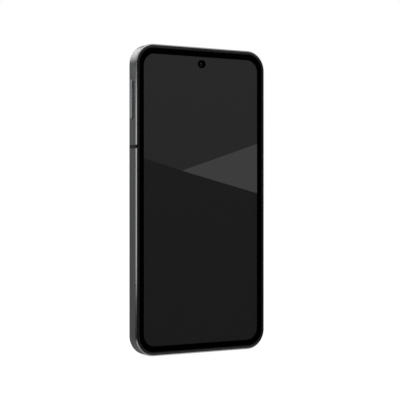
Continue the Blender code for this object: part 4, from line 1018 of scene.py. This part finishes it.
def drift_in(value, start, end, low=0.0, high=1.0):
    return room.fade(value, start, end, low, high, curve="SMOOTHSTEP")


left_glow = drift_in(right, 0.35, -0.45)
high_glow = drift_in(up, 0.02, 0.55)
low_glow = drift_in(up, -0.25, -0.8)
right_glow = drift_in(right, -0.4, 0.4, 0.2)
front_low = drift_in(up, -0.2, -0.5) * drift_in(behind, 0.0, -0.6)
rear_glow = drift_in(behind, -0.2, 0.7)
side_glow = drift_in(right, 0.92, 0.995, 0.0, 0.5)
strength = 0.03 + side_glow + left_glow * rear_glow * 0.88 + high_glow + low_glow * right_glow + front_low
seen = room.node("ShaderNodeLightPath")
lit = room.node("ShaderNodeBackground", (1.0, 1.0, 1.0), strength)
white = room.node("ShaderNodeBackground", (1.0, 1.0, 1.0), 1.0)
mixed = room.node("ShaderNodeMixShader", seen, lit, white)
room.node("ShaderNodeOutputWorld", mixed)
print("surroundings ready")

# %% [markdown]
# Three soft boxes add to that. The one near the left lies where the near chamfer mirrors it, and draws the
# bright line down it. The one overhead lifts the top edge, and the one high behind lights the back. The
# camera stands level with the middle, to the phone's left, so that its upright edges stay parallel.

# %% Lamps and camera


def soft_box(name, place, aim, width, height, watts):
    lamp = bpy.data.lights.new(name, "AREA")
    lamp.shape, lamp.size, lamp.size_y, lamp.energy = "RECTANGLE", width, height, watts
    made = bpy.data.objects.new(name, lamp)
    made.location = place
    made.rotation_euler = (Vector(aim) - Vector(place)).to_track_quat("-Z", "Y").to_euler()
    made.visible_camera = False
    bpy.context.scene.collection.objects.link(made)


middle = Vector((0, 0, MIDDLE_Z))
soft_box("near left box", (-0.294, -0.155, 0.085), (-0.035, -0.004, 0.085), 0.07, 0.153, 0.045)
soft_box("overhead box", (-0.2, -0.3, 1.4), middle, 1.2, 1.2, 3.0)
soft_box("rear high box", middle + Vector((-0.15, 0.86, 0.44)) * 1.2, middle, 0.72, 0.45, 4.2)

TURN = radians(29.8)
ahead = Vector((sin(TURN), cos(TURN), 0))
aside = Vector((cos(TURN), -sin(TURN), 0))
lens = bpy.data.cameras.new("studio camera")
lens.lens, lens.sensor_width, lens.clip_start, lens.clip_end = 102.95, 36.0, 0.01, 50.0
camera = bpy.data.objects.new("studio camera", lens)
DISTANCE, SIDE_STEP = 551 * MM, 0.98 * MM
camera.location = Vector((0, -4.3 * MM, 73.5 * MM)) - aside * SIDE_STEP - ahead * DISTANCE
camera.rotation_euler = ahead.to_track_quat("-Z", "Y").to_euler()
bpy.context.scene.collection.objects.link(camera)
bpy.context.scene.camera = camera
bpy.context.scene.view_settings.view_transform = "Standard"
print("camera at", [round(c / MM, 1) for c in camera.location])
